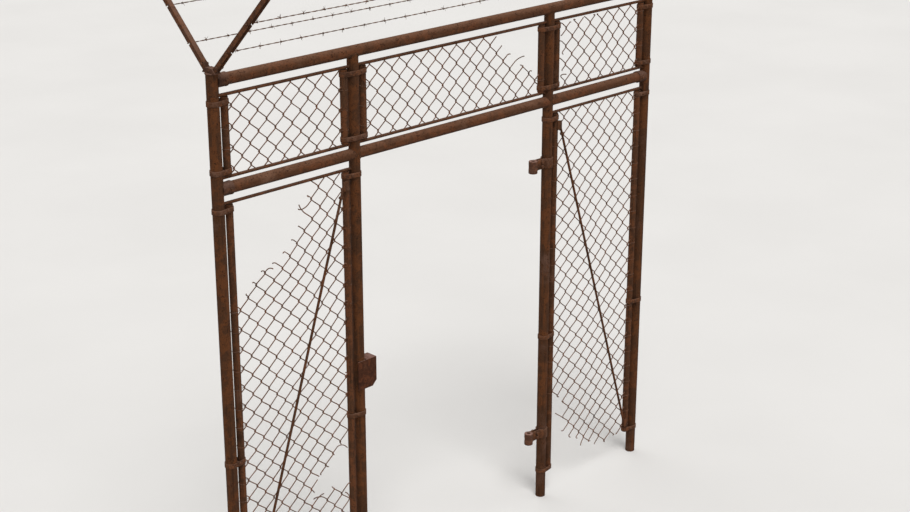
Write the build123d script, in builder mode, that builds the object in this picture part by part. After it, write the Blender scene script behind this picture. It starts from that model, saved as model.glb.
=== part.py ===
from build123d import *
from math import cos, hypot, pi, sqrt
import os

os.makedirs("parts", exist_ok=True)

# A walk-through gate of steel pipe and chain link, rusty and torn, with its leaf missing.
# Sizes are in millimetres. X runs along the gate, Z is up, and the viewer stands on the -Y side.
# The origin is the middle of the left outer post's foot.

# Posts and rails
side_bay = 740.0
door_bay = 1250.0
head_height = 2125.0
top_height = 2575.0
post_od = 50.8
post_wall = 3.0
rail_od = 50.8
rail_wall = 3.0
outer_post_rise = 30.0

# Rail end cups on the outer posts
cup_wall = 3.0
cup_base = 8.0
cup_length = 42.0

# Panel tubes and cross bars
tube_od = 32.0
tube_wall = 2.0
tube_gap = 13.0
tube_foot_height = 135.0
bar_d = 14.0
bar_below_rail = 62.0
bar_above_rail = 47.0

# Chain-link mesh: wire, and the diagonal of one opening from wire to wire
wire_d = 5.0
diamond = 88.0

# Diagonal rods
rod_d = 12.0
rod_forward = 13.0
rod_end_inset = 60.0
rod_side_gap = 2.0
rod_tab_length = 44.0
rod_tab_thickness = 5.0

# Bands round a post and the tubes beside it
band_thickness = 3.0
band_width = 22.0
low_band_above_tube_foot = 15.0
middle_band_height = 900.0
top_band_below_bar = 27.0
upper_band_inset = 28.0

# Arms and barbed wire
arm_size = 22.0
arm_wall = 3.0
arm_length = 530.0
cap_flange_d = 58.0
cap_flange = 5.0
cap_spigot = 30.0
cap_width = 32.0
cap_shoulder = 3.0
cap_flat = 42.0
cap_slope = 27.0
strand_d = 5.0
strand_spacings = (125.0, 310.0, 495.0)
strand_tail = 10.0
slot_clearance = 0.6

# Hinge halves left on the right inner post
hinge_heights = (366.0, 1820.0)
hinge_reach = 98.0
barrel_od = 44.0
barrel_height = 62.0
barrel_drop = 6.0
barrel_bore = 16.5
clamp_thickness = 5.0
clamp_height = 50.0
clamp_arm_width = 22.0

# Latch keeper on the left inner post
keeper_height = 1090.0
keeper_length = 140.0
keeper_reach = 80.0
keeper_back = 30.0
keeper_side_gap = 0.6
keeper_plate = 4.0
keeper_chamfer = 25.0

# Gap left at each welded, clipped or threaded seat
seat = 0.3

# Sides of the pieces that are drawn as prisms; band_sides is a multiple of four
round_sides = 12
bar_sides = 8
band_sides = 8
strand_sides = 6

# Places worked out from the sizes
post_r = post_od / 2
rail_r = rail_od / 2
tube_r = tube_od / 2
bar_r = bar_d / 2
left_outer_x = 0.0
left_inner_x = side_bay
right_inner_x = side_bay + door_bay
right_outer_x = 2 * side_bay + door_bay
gate_middle = Plane.YZ.offset(right_outer_x / 2)
outer_top = top_height + outer_post_rise
rail_start = post_r + cup_base + seat
lower_bar_z = head_height - bar_below_rail
upper_low_bar_z = head_height + bar_above_rail
upper_high_bar_z = top_height - bar_below_rail
tube_offset = post_r + tube_gap + tube_r
mesh_edge = tube_offset + tube_r + seat
low_mesh_top = lower_bar_z - bar_r - seat
high_mesh_bottom = upper_low_bar_z + bar_r + seat
high_mesh_top = upper_high_bar_z - bar_r - seat
lower_band_heights = (
    tube_foot_height + low_band_above_tube_foot,
    middle_band_height,
    lower_bar_z - top_band_below_bar,
)
upper_band_heights = (upper_low_bar_z + upper_band_inset, upper_high_bar_z - upper_band_inset)


def save(builder, name):
    builder.part.label = name
    export_step(builder.part, f"parts/{name}.step")


def along_x(x, y, z):
    """A plane at a point, facing +X."""
    return Plane(origin=(x, y, z), x_dir=(0, 1, 0), z_dir=(1, 0, 0))


def pipe(plane, length, od, wall):
    with BuildSketch(plane) as ring:
        Circle(od / 2)
        Circle(od / 2 - wall, mode=Mode.SUBTRACT)
    extrude(ring.sketch, amount=length)


def prism(plane, length, d, sides):
    """A plain bar of few sides whose corners lie on a circle of diameter d."""
    with BuildSketch(plane) as section:
        RegularPolygon(d / 2, sides)
    extrude(section.sketch, amount=length)


def collar(radius, sides):
    """Sketches a polygon whose flats clear a circle of the given radius."""
    RegularPolygon(radius, sides, major_radius=False)


def cope_for_post(x, z):
    """Cuts the saddle that a rail or cup at height z needs to meet the post at x."""
    with BuildSketch(Plane(origin=(x, 0, z - rail_od))) as saddle:
        Circle(post_r + seat)
    extrude(saddle.sketch, amount=2 * rail_od, mode=Mode.SUBTRACT)


# Posts: the outer ones stand above the top rail, the inner ones are coped to its underside
for name, x in (("left_outer_post", left_outer_x), ("right_outer_post", right_outer_x)):
    with BuildPart() as outer_post:
        pipe(Plane(origin=(x, 0, 0)), outer_top, post_od, post_wall)
    save(outer_post, name)

for name, x in (("left_inner_post", left_inner_x), ("right_inner_post", right_inner_x)):
    with BuildPart() as inner_post:
        pipe(Plane(origin=(x, 0, 0)), top_height, post_od, post_wall)
        with BuildSketch(along_x(x - post_od, 0, top_height)):
            Circle(rail_r + seat)
        extrude(amount=2 * post_od, mode=Mode.SUBTRACT)
    save(inner_post, name)

# Rails: one over everything, and one at doorway height in three lengths coped to the inner posts
with BuildPart() as top_rail:
    pipe(along_x(rail_start, 0, top_height), right_outer_x - 2 * rail_start, rail_od, rail_wall)
save(top_rail, "top_rail")

with BuildPart() as head_rail_left:
    pipe(along_x(rail_start, 0, head_height), left_inner_x - rail_start, rail_od, rail_wall)
    cope_for_post(left_inner_x, head_height)
save(head_rail_left, "head_rail_left")

with BuildPart() as head_rail_middle:
    pipe(along_x(left_inner_x, 0, head_height), door_bay, rail_od, rail_wall)
    cope_for_post(left_inner_x, head_height)
    cope_for_post(right_inner_x, head_height)
save(head_rail_middle, "head_rail_middle")

with BuildPart() as head_rail_right:
    add(mirror(head_rail_left.part, about=gate_middle, mode=Mode.PRIVATE))
save(head_rail_right, "head_rail_right")

# Rail end cups: a socket for the rail, closed by a base that saddles the post
with BuildPart() as rail_end_cups:
    for z in (head_height, top_height):
        with BuildSketch(along_x(post_r / 2, 0, z)):
            collar(rail_r + seat + cup_wall, round_sides)
        extrude(amount=post_r / 2 + cup_length)
        with BuildSketch(along_x(post_r + cup_base, 0, z)):
            collar(rail_r + seat, round_sides)
        extrude(amount=cup_length, mode=Mode.SUBTRACT)
        cope_for_post(left_outer_x, z)
    mirror(about=gate_middle)
save(rail_end_cups, "rail_end_cups")


# Panel frames
def panel_frame(left_x, right_x, low_z, high_z, has_low_bar):
    """Two side tubes between a pair of posts, with a bar over them and, where wanted, under them."""
    tube_bottom = low_z + bar_r + seat if has_low_bar else low_z
    tube_top = high_z - bar_r - seat
    with BuildPart() as frame:
        with BuildSketch(Plane.XY.offset(tube_bottom)) as tubes:
            with Locations((left_x + tube_offset, 0), (right_x - tube_offset, 0)):
                RegularPolygon(tube_r, round_sides)
                RegularPolygon(tube_r - tube_wall, round_sides, mode=Mode.SUBTRACT)
        extrude(tubes.sketch, amount=tube_top - tube_bottom)
        for z in (low_z, high_z) if has_low_bar else (high_z,):
            start = along_x(left_x + post_r + seat, 0, z)
            prism(start, right_x - left_x - post_od - 2 * seat, bar_d, bar_sides)
    return frame


bays = {
    "left": (left_outer_x, left_inner_x),
    "middle": (left_inner_x, right_inner_x),
    "right": (right_inner_x, right_outer_x),
}
for bay in ("left", "right"):
    save(panel_frame(*bays[bay], tube_foot_height, lower_bar_z, False), f"lower_{bay}_frame")
for bay in ("left", "middle", "right"):
    save(panel_frame(*bays[bay], upper_low_bar_z, upper_high_bar_z, True), f"upper_{bay}_frame")


# Chain-link mesh
def wire_layer(outline, band_points, depth, slope):
    """One layer of parallel wires, cut to the outline and clear of the bands on the side tubes."""
    xs = [x for x, z in outline]
    zs = [z for x, z in outline]
    middle_x = (min(xs) + max(xs)) / 2
    middle_z = (min(zs) + max(zs)) / 2
    reach = hypot(max(xs) - min(xs), max(zs) - min(zs))
    pitch = diamond / sqrt(2)
    # Every panel is cut from the same sheet pattern, which has a wire through the origin
    off_wire = (middle_z - slope * middle_x) / sqrt(2)
    shift = round(off_wire / pitch) * pitch - off_wire
    half_count = int(reach / 2 / pitch) + 1
    notch_depth = (tube_r + seat + band_thickness) / cos(pi / band_sides) - tube_r
    with BuildSketch(Plane.XZ) as layer:
        with Locations(Location((middle_x, middle_z), slope * 45.0)):
            with Locations((0, shift)):
                with GridLocations(1, pitch, 1, 2 * half_count + 1):
                    Rectangle(2 * reach, wire_d)
        with BuildLine():
            Polyline(*outline, close=True)
        make_face(mode=Mode.INTERSECT)
        with Locations(*band_points):
            Rectangle(2 * notch_depth, band_width + 2 * seat, mode=Mode.SUBTRACT)
    extrude(layer.sketch, amount=depth)


def chain_link(outline, left_x, right_x, band_heights):
    """Two crossing layers of wires, joined where they cross; loose clippings at the edges fall away."""
    edges = (left_x + mesh_edge, right_x - mesh_edge)
    band_points = [(x, z) for x in edges for z in band_heights]
    with BuildPart() as wires:
        wire_layer(outline, band_points, wire_d, 1)
        wire_layer(outline, band_points, -wire_d, -1)
    with BuildPart() as sheet:
        add(wires.part.solids().sort_by(SortBy.VOLUME)[-1])
    return sheet


def steps_from(corner_x, corner_z, steps):
    return [(corner_x + dx, corner_z + dz) for dx, dz in steps]


# Torn edges, as steps from a corner of the panel, going round the panel anticlockwise
left_top_tear = ((411, 0), (387, -120), (303, -242), (203, -312), (126, -339), (45, -429), (0, -449))
left_foot_tear = ((0, 45), (140, 30), (300, 12), (450, 20), (520, 60))
left_side_hole = ((-4, -1227), (-69, -1275), (-115, -1365), (-140, -1455), (-115, -1486), (-20, -1437))
middle_top_tear = ((0, -236), (-31, -230), (-106, -182), (-205, -124), (-278, -36), (-305, 0))
right_foot_tear = ((0, 400), (94, 356), (101, 149), (158, 109), (276, 57), (396, -28), (545, -5))
right_top_gap = ((0, -20), (24, -45), (26, -290), (0, -318))


def full_panel(left_x, right_x, low_z, high_z):
    left, right = left_x + mesh_edge, right_x - mesh_edge
    return [(left, low_z), (right, low_z), (right, high_z), (left, high_z)]


def lower_left_outline():
    left, right = left_outer_x + mesh_edge, left_inner_x - mesh_edge
    return [
        *steps_from(left, tube_foot_height + rod_end_inset / 2, left_foot_tear),
        (right, tube_foot_height + rod_end_inset),
        *reversed(steps_from(right, low_mesh_top, left_side_hole)),
        (right, low_mesh_top),
        *steps_from(left, low_mesh_top, left_top_tear),
    ]


def lower_right_outline():
    left, right = right_inner_x + mesh_edge, right_outer_x - mesh_edge
    return [
        *steps_from(left, tube_foot_height + 15, right_foot_tear),
        (right, tube_foot_height + 15),
        (right, low_mesh_top),
        (left, low_mesh_top),
    ]


def upper_middle_outline():
    left, right = left_inner_x + mesh_edge, right_inner_x - mesh_edge
    return [
        (left, high_mesh_bottom),
        (right, high_mesh_bottom),
        *steps_from(right, high_mesh_top, middle_top_tear),
        (left, high_mesh_top),
    ]


def upper_right_outline():
    left, right = right_inner_x + mesh_edge, right_outer_x - mesh_edge
    return [
        (left, high_mesh_bottom),
        (right, high_mesh_bottom),
        (right, high_mesh_top),
        *steps_from(left, high_mesh_top, right_top_gap),
    ]


upper_left_outline = full_panel(*bays["left"], high_mesh_bottom, high_mesh_top)
for name, bay, outline, band_heights in (
    ("lower_left_mesh", "left", lower_left_outline(), lower_band_heights),
    ("lower_right_mesh", "right", lower_right_outline(), lower_band_heights),
    ("upper_left_mesh", "left", upper_left_outline, upper_band_heights),
    ("upper_middle_mesh", "middle", upper_middle_outline(), upper_band_heights),
    ("upper_right_mesh", "right", upper_right_outline(), upper_band_heights),
):
    save(chain_link(outline, *bays[bay], band_heights), name)

# Diagonal rods in front of the mesh, each with a tab on the side tube at both ends
rod_end_offset = tube_offset + tube_r + rod_side_gap + rod_d / 2
tab_width = rod_end_offset + rod_d / 2 - tube_offset
rod_low_z = tube_foot_height + rod_end_inset
rod_high_z = low_mesh_top - rod_end_inset

with BuildPart() as left_rod:
    low = Vector(left_outer_x + rod_end_offset, -rod_forward, rod_low_z)
    high = Vector(left_inner_x - rod_end_offset, -rod_forward, rod_high_z)
    prism(Plane(origin=low, z_dir=high - low), (high - low).length, rod_d, bar_sides)
    with BuildSketch(Plane.XZ.offset(tube_r + seat)):
        with Locations((left_outer_x + tube_offset + tab_width / 2, rod_low_z)):
            Rectangle(tab_width, rod_tab_length)
        with Locations((left_inner_x - tube_offset - tab_width / 2, rod_high_z)):
            Rectangle(tab_width, rod_tab_length)
    extrude(amount=rod_tab_thickness)
save(left_rod, "lower_left_truss_rod")

with BuildPart() as right_rod:
    add(mirror(left_rod.part, about=gate_middle, mode=Mode.PRIVATE))
save(right_rod, "lower_right_truss_rod")


# Bands
def belt(x, sides, growth):
    """Outline of a strap pulled round a post and the tubes on the given sides of it."""
    post_corner = (post_r + growth) / cos(pi / band_sides)
    tube_corner = (tube_r + growth) / cos(pi / band_sides)
    with BuildSketch(mode=Mode.PRIVATE) as outline:
        with Locations((x, 0)):
            collar(post_r + growth, band_sides)
        for side in sides:
            tube_x = x + side * tube_offset
            with Locations((tube_x, 0)):
                collar(tube_r + growth, band_sides)
            with BuildLine():
                Polyline(
                    (x, post_corner), (tube_x, tube_corner),
                    (tube_x, -tube_corner), (x, -post_corner), close=True,
                )
            make_face()
    return outline.sketch


def band(x, z, sides):
    with BuildSketch(Plane.XY.offset(z - band_width / 2)) as loop:
        add(belt(x, sides, seat + band_thickness))
        add(belt(x, sides, seat), mode=Mode.SUBTRACT)
    extrude(loop.sketch, amount=band_width)


for name, x, low_sides, high_sides in (
    ("left_outer_bands", left_outer_x, (1,), (1,)),
    ("left_inner_bands", left_inner_x, (-1,), (-1, 1)),
    ("right_inner_bands", right_inner_x, (1,), (-1, 1)),
    ("right_outer_bands", right_outer_x, (-1,), (-1,)),
):
    with BuildPart() as bands:
        for z in lower_band_heights:
            band(x, z, low_sides)
        for z in upper_band_heights:
            band(x, z, high_sides)
    save(bands, name)

# Arm caps: a spigot in the post, a flange on it, and a saddle block whose two slopes carry the arms
cap_base_z = outer_top + seat + cap_flange
cap_step = cap_slope / sqrt(2)
cap_half = cap_flat / 2 + cap_step
with BuildPart() as arm_caps:
    for x in (left_outer_x, right_outer_x):
        spigot_d = post_od - 2 * post_wall - 2 * seat
        prism(Plane(origin=(x, 0, outer_top - cap_spigot)), cap_spigot + seat, spigot_d, round_sides)
        prism(Plane(origin=(x, 0, outer_top + seat)), cap_flange, cap_flange_d, round_sides)
        with BuildSketch(along_x(x - cap_width / 2, 0, cap_base_z)):
            with BuildLine():
                Polyline(
                    (-cap_half, 0), (cap_half, 0), (cap_half, cap_shoulder),
                    (cap_flat / 2, cap_shoulder + cap_step), (-cap_flat / 2, cap_shoulder + cap_step),
                    (-cap_half, cap_shoulder), close=True,
                )
            make_face()
        extrude(amount=cap_width)
save(arm_caps, "arm_caps")

# Arms: channels that open down and out, with a slot in both flanges for each strand
arm_root_y = (cap_flat + cap_step) / 2
arm_root_z = cap_base_z + cap_shoulder + cap_step / 2
lean = 1 / sqrt(2)
slot_width = strand_d + 2 * slot_clearance

for side, x in (("left", left_outer_x), ("right", right_outer_x)):
    with BuildPart() as back_arm:
        root = Plane(origin=(x, arm_root_y, arm_root_z), x_dir=(1, 0, 0), z_dir=(0, lean, lean))
        with BuildSketch(root.offset(seat)):
            Rectangle(arm_size, arm_size)
            with Locations((0, arm_wall)):
                Rectangle(arm_size - 2 * arm_wall, arm_size, mode=Mode.SUBTRACT)
        extrude(amount=arm_length)
        slot_start = (x - arm_size, arm_root_y, arm_root_z)
        with BuildSketch(Plane(origin=slot_start, x_dir=(0, lean, lean), z_dir=(1, 0, 0))):
            for spacing in strand_spacings:
                with Locations((spacing, (slot_width - arm_size) / 2)):
                    Rectangle(slot_width, arm_size)
        extrude(amount=2 * arm_size, mode=Mode.SUBTRACT)
    save(back_arm, f"{side}_back_arm")
    with BuildPart() as front_arm:
        add(mirror(back_arm.part, about=Plane.XZ, mode=Mode.PRIVATE))
    save(front_arm, f"{side}_front_arm")

# Barbed wire: three taut strands in each pair of arms, each a plain bar
with BuildPart() as back_wires:
    start_x = left_outer_x - arm_size / 2 - strand_tail
    for spacing in strand_spacings:
        strand = along_x(start_x, arm_root_y + spacing * lean, arm_root_z + spacing * lean)
        prism(strand, right_outer_x - left_outer_x + arm_size + 2 * strand_tail, strand_d, strand_sides)
save(back_wires, "back_barbed_wires")
with BuildPart() as front_wires:
    add(mirror(back_wires.part, about=Plane.XZ, mode=Mode.PRIVATE))
save(front_wires, "front_barbed_wires")

# Hinge halves: a clamp on the post whose arm ends at an upright barrel for the missing leaf's pin
barrel_x = right_inner_x - hinge_reach
with BuildPart() as hinge_clamps:
    for z in hinge_heights:
        with BuildSketch(Plane.XY.offset(z - clamp_height / 2)):
            with Locations((right_inner_x, 0)):
                collar(post_r + seat + clamp_thickness, round_sides)
            with Locations((right_inner_x - hinge_reach / 2, 0)):
                Rectangle(hinge_reach, clamp_arm_width)
            with Locations((right_inner_x, 0)):
                RegularPolygon(post_r + seat, round_sides, major_radius=False, mode=Mode.SUBTRACT)
            with Locations((barrel_x, 0)):
                Circle(barrel_od / 2 + seat, mode=Mode.SUBTRACT)
        extrude(amount=clamp_height)
save(hinge_clamps, "hinge_clamps")

with BuildPart() as hinge_barrels:
    for z in hinge_heights:
        barrel_wall = (barrel_od - barrel_bore) / 2
        barrel_foot = z - barrel_drop - barrel_height / 2
        pipe(Plane(origin=(barrel_x, 0, barrel_foot)), barrel_height, barrel_od, barrel_wall)
save(hinge_barrels, "hinge_barrels")

# Latch keeper: a channel that straddles the left inner post, with a box beyond the post that is
# open below and towards the doorway
keeper_half_width = post_r + keeper_side_gap + keeper_plate
keeper_web_x = post_r + seat
with BuildPart() as latch_keeper:
    with BuildSketch(Plane(origin=(left_inner_x, 0, keeper_height - keeper_length / 2))):
        with Locations(((keeper_reach - keeper_back) / 2, 0)):
            Rectangle(keeper_reach + keeper_back, 2 * keeper_half_width)
            Rectangle(keeper_reach + keeper_back, 2 * (keeper_half_width - keeper_plate), mode=Mode.SUBTRACT)
        with Locations((keeper_web_x + keeper_plate / 2, 0)):
            Rectangle(keeper_plate, 2 * keeper_half_width)
    extrude(amount=keeper_length)
    with BuildSketch(Plane(origin=(left_inner_x, 0, keeper_height + keeper_length / 2))):
        with Locations(((keeper_web_x + keeper_reach) / 2, 0)):
            Rectangle(keeper_reach - keeper_web_x, 2 * keeper_half_width)
    extrude(amount=-keeper_plate)
    low_outer_corners = latch_keeper.edges().filter_by(Axis.Y).group_by(Axis.X)[-1].group_by(Axis.Z)[0]
    chamfer(low_outer_corners, length=keeper_chamfer)
save(latch_keeper, "latch_keeper")
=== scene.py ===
"""A rusty walk-through gate of steel pipe and torn chain link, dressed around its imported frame.

Shapes are made in millimetres, in the frame's own axes, and scaled to metres when they are finished.
"""

import logging
import random
from dataclasses import dataclass, field
from enum import Enum
from math import asin, ceil, cos, floor, pi, radians, sin, sqrt

import bmesh
import bpy
from mathutils import Matrix, Quaternion, Vector, noise


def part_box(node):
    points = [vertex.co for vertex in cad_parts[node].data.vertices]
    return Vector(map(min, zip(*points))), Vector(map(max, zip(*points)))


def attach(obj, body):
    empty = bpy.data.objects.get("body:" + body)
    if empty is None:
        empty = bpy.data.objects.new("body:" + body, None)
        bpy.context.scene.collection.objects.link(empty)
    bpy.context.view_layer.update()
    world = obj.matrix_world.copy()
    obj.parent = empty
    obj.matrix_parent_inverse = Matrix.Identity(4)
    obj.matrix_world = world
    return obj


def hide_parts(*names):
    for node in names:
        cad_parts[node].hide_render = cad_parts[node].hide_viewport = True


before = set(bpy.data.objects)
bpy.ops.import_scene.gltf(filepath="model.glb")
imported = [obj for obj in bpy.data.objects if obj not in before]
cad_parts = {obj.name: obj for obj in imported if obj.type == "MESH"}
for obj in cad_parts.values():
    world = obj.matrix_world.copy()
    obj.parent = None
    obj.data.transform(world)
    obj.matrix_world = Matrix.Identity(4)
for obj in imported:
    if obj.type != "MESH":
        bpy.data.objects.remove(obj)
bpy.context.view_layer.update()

LOG = logging.getLogger("gate")
MM_PER_M = 1000.0
UP = Vector((0.0, 0.0, 1.0))
ALONG = Vector((1.0, 0.0, 0.0))
FRONT = Vector((0.0, -1.0, 0.0))
BACK = Vector((0.0, 1.0, 0.0))
# Points nearer than this to a face, in millimetres, count as lying on it
TOUCH = 1.0

Material = bpy.types.Material
Socket = bpy.types.NodeSocket
Tree = bpy.types.NodeTree
Path = list[Vector]
Outline = list[tuple[float, float]]


class Slot(Enum):
    """The record's material slots."""

    PIPE = "pipe_steel"
    FITTINGS = "fittings"
    PANEL = "panel_steel"
    MESH = "mesh_wire"
    BARBED = "barbed_wire"
    HINGE = "hinge_steel"


# Finishes


def add_node(tree: Tree, kind: str, inputs: dict | None = None,
             stops: dict[float, tuple] | None = None, **settings) -> bpy.types.Node:
    """Adds a node with its settings, its input values and links, and its colour stops.

    Args:
        tree: Node tree of a material or of the world.
        kind: Blender's name for the kind of node.
        inputs: Value, or output socket to link, for each input's name or number.
        stops: Colour at each position of a colour ramp.
        **settings: Attributes of the node.

    Returns:
        The new node.
    """
    node = tree.nodes.new(kind)
    for name, value in settings.items():
        setattr(node, name, value)
    for place, (position, colour) in enumerate((stops or {}).items()):
        if place > 1:
            node.color_ramp.elements.new(position)
        node.color_ramp.elements[place].position = position
        node.color_ramp.elements[place].color = colour
    for name, value in (inputs or {}).items():
        if isinstance(value, Socket):
            tree.links.new(value, node.inputs[name])
        else:
            node.inputs[name].default_value = value
    return node


def bare_tree(owner: Material | bpy.types.World) -> Tree:
    """Switches on the nodes of a material or world, and removes those it starts with.

    Args:
        owner: The material or world.

    Returns:
        Its empty node tree.
    """
    owner.use_nodes = True
    owner.node_tree.nodes.clear()
    return owner.node_tree


def linear(hex_colour: str) -> tuple[float, float, float, float]:
    """Turns an sRGB hex colour to Blender's linear one.

    Args:
        hex_colour: Colour as "#rrggbb".

    Returns:
        Linear red, green and blue, and an alpha of one.
    """
    parts = [int(hex_colour[i:i + 2], 16) / 255 for i in (1, 3, 5)]
    return (*(c / 12.92 if c <= 0.04045 else ((c + 0.055) / 1.055) ** 2.4 for c in parts), 1.0)


def per_metre(size_mm: float) -> float:
    """The texture scale at which one cell of a pattern is size_mm wide."""
    return MM_PER_M / size_mm


@dataclass(frozen=True)
class RustedSteel:
    """Mild steel that has lost its skin: layered rust, porous and matt, so it has hardly any sheen.

    Each pattern has a real size: blotches where old rust has weathered, flakes where scale has
    lifted, pits where it has fallen out, grain in the rust itself, and runs left by rain on
    upright pieces. The grain is drawn two or three times too coarse, so that it shows. Colours
    are sRGB hex. An edge is two values of a pattern: where its patch starts and where it is full.
    """

    name: str
    deep: str  # oldest rust, and the pits
    body: str  # most of the surface
    pale: str  # weathered blotches
    fresh: str  # new rust on flakes and in runs
    dust_and_top_light: str  # what faces the sky: dust, and painted top light
    underside_shade: str  # painted shade on what faces the ground
    blotch_mm: float
    flake_mm: float
    pit_mm: float
    relief_mm: float  # height of the flakes, from which pits and grain take a share
    grain_mm: float = 3.5
    run_mm: float = 0.0  # 0 for no runs
    run_stretch: float = 16.0  # how many times as long as wide a run is
    fresh_share: float = 0.75  # how much new rust covers the old on a lifted flake
    underside_shade_share: float = 0.8  # how much the painted underside shade covers what faces down
    ramp: tuple[float, ...] = (0.28, 0.41, 0.47, 0.52, 0.58, 0.73)  # deep, body, fresh, body, body and pale
    flake_edge: tuple[float, float] = (0.53, 0.68)
    fresh_run_edge: tuple[float, float] = (0.54, 0.68)
    dark_run_edge: tuple[float, float] = (0.44, 0.32)
    pit_edge: tuple[float, float] = (1.0, 1.09)
    dust_and_top_light_edge: tuple[float, float] = (0.2, 0.95)  # of the dust and painted top light, on the normal's upward part
    underside_shade_edge: tuple[float, float] = (-0.25, -0.85)  # of the painted underside shade, on the same
    dust_and_top_light_gain: float = 1.35  # strength of the dust and painted top light on a level top
    grain_shade: tuple[float, float] = (0.74, 1.26)  # brightness of the darkest and palest grains
    roughness: tuple[float, float] = (0.72, 0.96)  # of smooth and of lifted rust
    metallic: float = 0.0
    specular: float = 0.12

    def material(self) -> Material:
        """Builds the rust from its patterns.

        Returns:
            The finished material.
        """
        made = bpy.data.materials.new(self.name)
        tree = bare_tree(made)
        place = add_node(tree, "ShaderNodeTexCoord").outputs["Object"]
        strayed = self.strayed(tree, place)
        blotch, flake, grain = (
            add_node(tree, "ShaderNodeTexNoise", {
                "Vector": where, "Scale": per_metre(size), "Detail": detail,
                "Roughness": rough}).outputs["Fac"]
            for where, size, detail, rough in (
                (strayed, self.blotch_mm, 6.0, 0.62), (strayed, self.flake_mm, 5.0, 0.66),
                (place, self.grain_mm, 2.0, 0.6)))
        pitted = self.pits(tree, strayed, flake)
        layers = (self.deep, self.body, self.fresh, self.body, self.body, self.pale)
        colour = add_node(tree, "ShaderNodeValToRGB", {"Fac": blotch}, {
            stop: linear(layer) for stop, layer in zip(self.ramp, layers)}).outputs["Color"]
        if self.run_mm:
            colour = self.add_runs(tree, place, colour)
        colour = self.add_patch(tree, flake, self.flake_edge, self.fresh_share, colour, self.fresh)
        # Dust with painted top light on the tops, and painted shade underneath
        colour = self.add_painted_light_and_dust(tree, blotch, colour)
        colour = self.add_patch(tree, pitted, (0.0, 1.0), 0.8, colour, self.deep)
        shade = add_node(tree, "ShaderNodeMapRange", {
            "Value": grain, "From Min": 0.25, "From Max": 0.75, "To Min": self.grain_shade[0],
            "To Max": self.grain_shade[1]})
        shown = add_node(tree, "ShaderNodeHueSaturation", {
            "Color": colour, "Value": shade.outputs["Result"]})
        matt = add_node(tree, "ShaderNodeMapRange", {
            "Value": flake, "To Min": self.roughness[0], "To Max": self.roughness[1]})
        shader = add_node(tree, "ShaderNodeBsdfPrincipled", {
            "Base Color": shown.outputs["Color"], "Roughness": matt.outputs["Result"],
            "Metallic": self.metallic, "Specular IOR Level": self.specular,
            "Normal": self.relief(tree, flake, pitted, grain)})
        add_node(tree, "ShaderNodeOutputMaterial", {"Surface": shader.outputs["BSDF"]})
        return made

    def relief(self, tree: Tree, flake: Socket,
               pitted: Socket, grain: Socket) -> Socket:
        """Raises the flakes, sinks the pits and roughens the whole with grain.

        Args:
            tree: Node tree of the material.
            flake: Pattern of the flakes.
            pitted: Mask of the pits.
            grain: Pattern of the grain.

        Returns:
            The surface's normal.
        """
        height = self.relief_mm / MM_PER_M
        lumps = add_node(tree, "ShaderNodeBump", {"Height": flake, "Distance": height, "Strength": 1.0})
        hollows = add_node(tree, "ShaderNodeBump", {
            "Height": pitted, "Distance": 0.6 * height, "Strength": 0.9,
            "Normal": lumps.outputs["Normal"]}, invert=True)
        rough = add_node(tree, "ShaderNodeBump", {
            "Height": grain, "Distance": 0.25 * height, "Strength": 0.8,
            "Normal": hollows.outputs["Normal"]})
        return rough.outputs["Normal"]

    def strayed(self, tree: Tree, place: Socket) -> Socket:
        """Object coordinates that wander a little, so that no patch keeps a tidy outline.

        Args:
            tree: Node tree of the material.
            place: Object coordinates.

        Returns:
            The strayed coordinates.
        """
        drift = add_node(tree, "ShaderNodeTexNoise", {
            "Vector": place, "Scale": per_metre(0.6 * self.flake_mm), "Detail": 3.0}).outputs["Color"]
        reach = 1.1 * self.flake_mm / MM_PER_M
        return add_node(tree, "ShaderNodeVectorMath", {0: drift, 1: (reach, reach, reach), 2: place},
                        operation="MULTIPLY_ADD").outputs["Vector"]

    def pits(self, tree: Tree, strayed: Socket,
             flake: Socket) -> Socket:
        """Marks where scale has fallen out, in clusters at the lifted flakes.

        Args:
            tree: Node tree of the material.
            strayed: Strayed coordinates.
            flake: Pattern of the flakes.

        Returns:
            1 in a pit and 0 outside, soft at its rim.
        """
        speck = add_node(tree, "ShaderNodeTexNoise", {
            "Vector": strayed, "Scale": per_metre(self.pit_mm), "Detail": 2.0,
            "Roughness": 0.55}).outputs["Fac"]
        crowded = add_node(tree, "ShaderNodeMath", {0: flake, 1: 0.8, 2: speck}, operation="MULTIPLY_ADD")
        return add_node(tree, "ShaderNodeMapRange", {
            "Value": crowded.outputs["Value"], "From Min": self.pit_edge[0],
            "From Max": self.pit_edge[1]}).outputs["Result"]

    def add_patch(self, tree: Tree, pattern: Socket, edge: tuple[float, float],
                  share: float, colour: Socket, over: str) -> Socket:
        """Lays another colour where a pattern is high.

        Args:
            tree: Node tree of the material.
            pattern: The pattern.
            edge: Its values where the patch starts and where it is full.
            share: How much of the new colour covers the old one there.
            colour: Colour so far.
            over: Colour of the patch, as sRGB hex.

        Returns:
            The new colour.
        """
        mask = add_node(tree, "ShaderNodeMapRange", {
            "Value": pattern, "From Min": edge[0], "From Max": edge[1], "To Max": share})
        return add_node(tree, "ShaderNodeMix", {
            "Factor": mask.outputs["Result"], 6: colour, 7: linear(over)}, data_type="RGBA").outputs[2]

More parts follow.
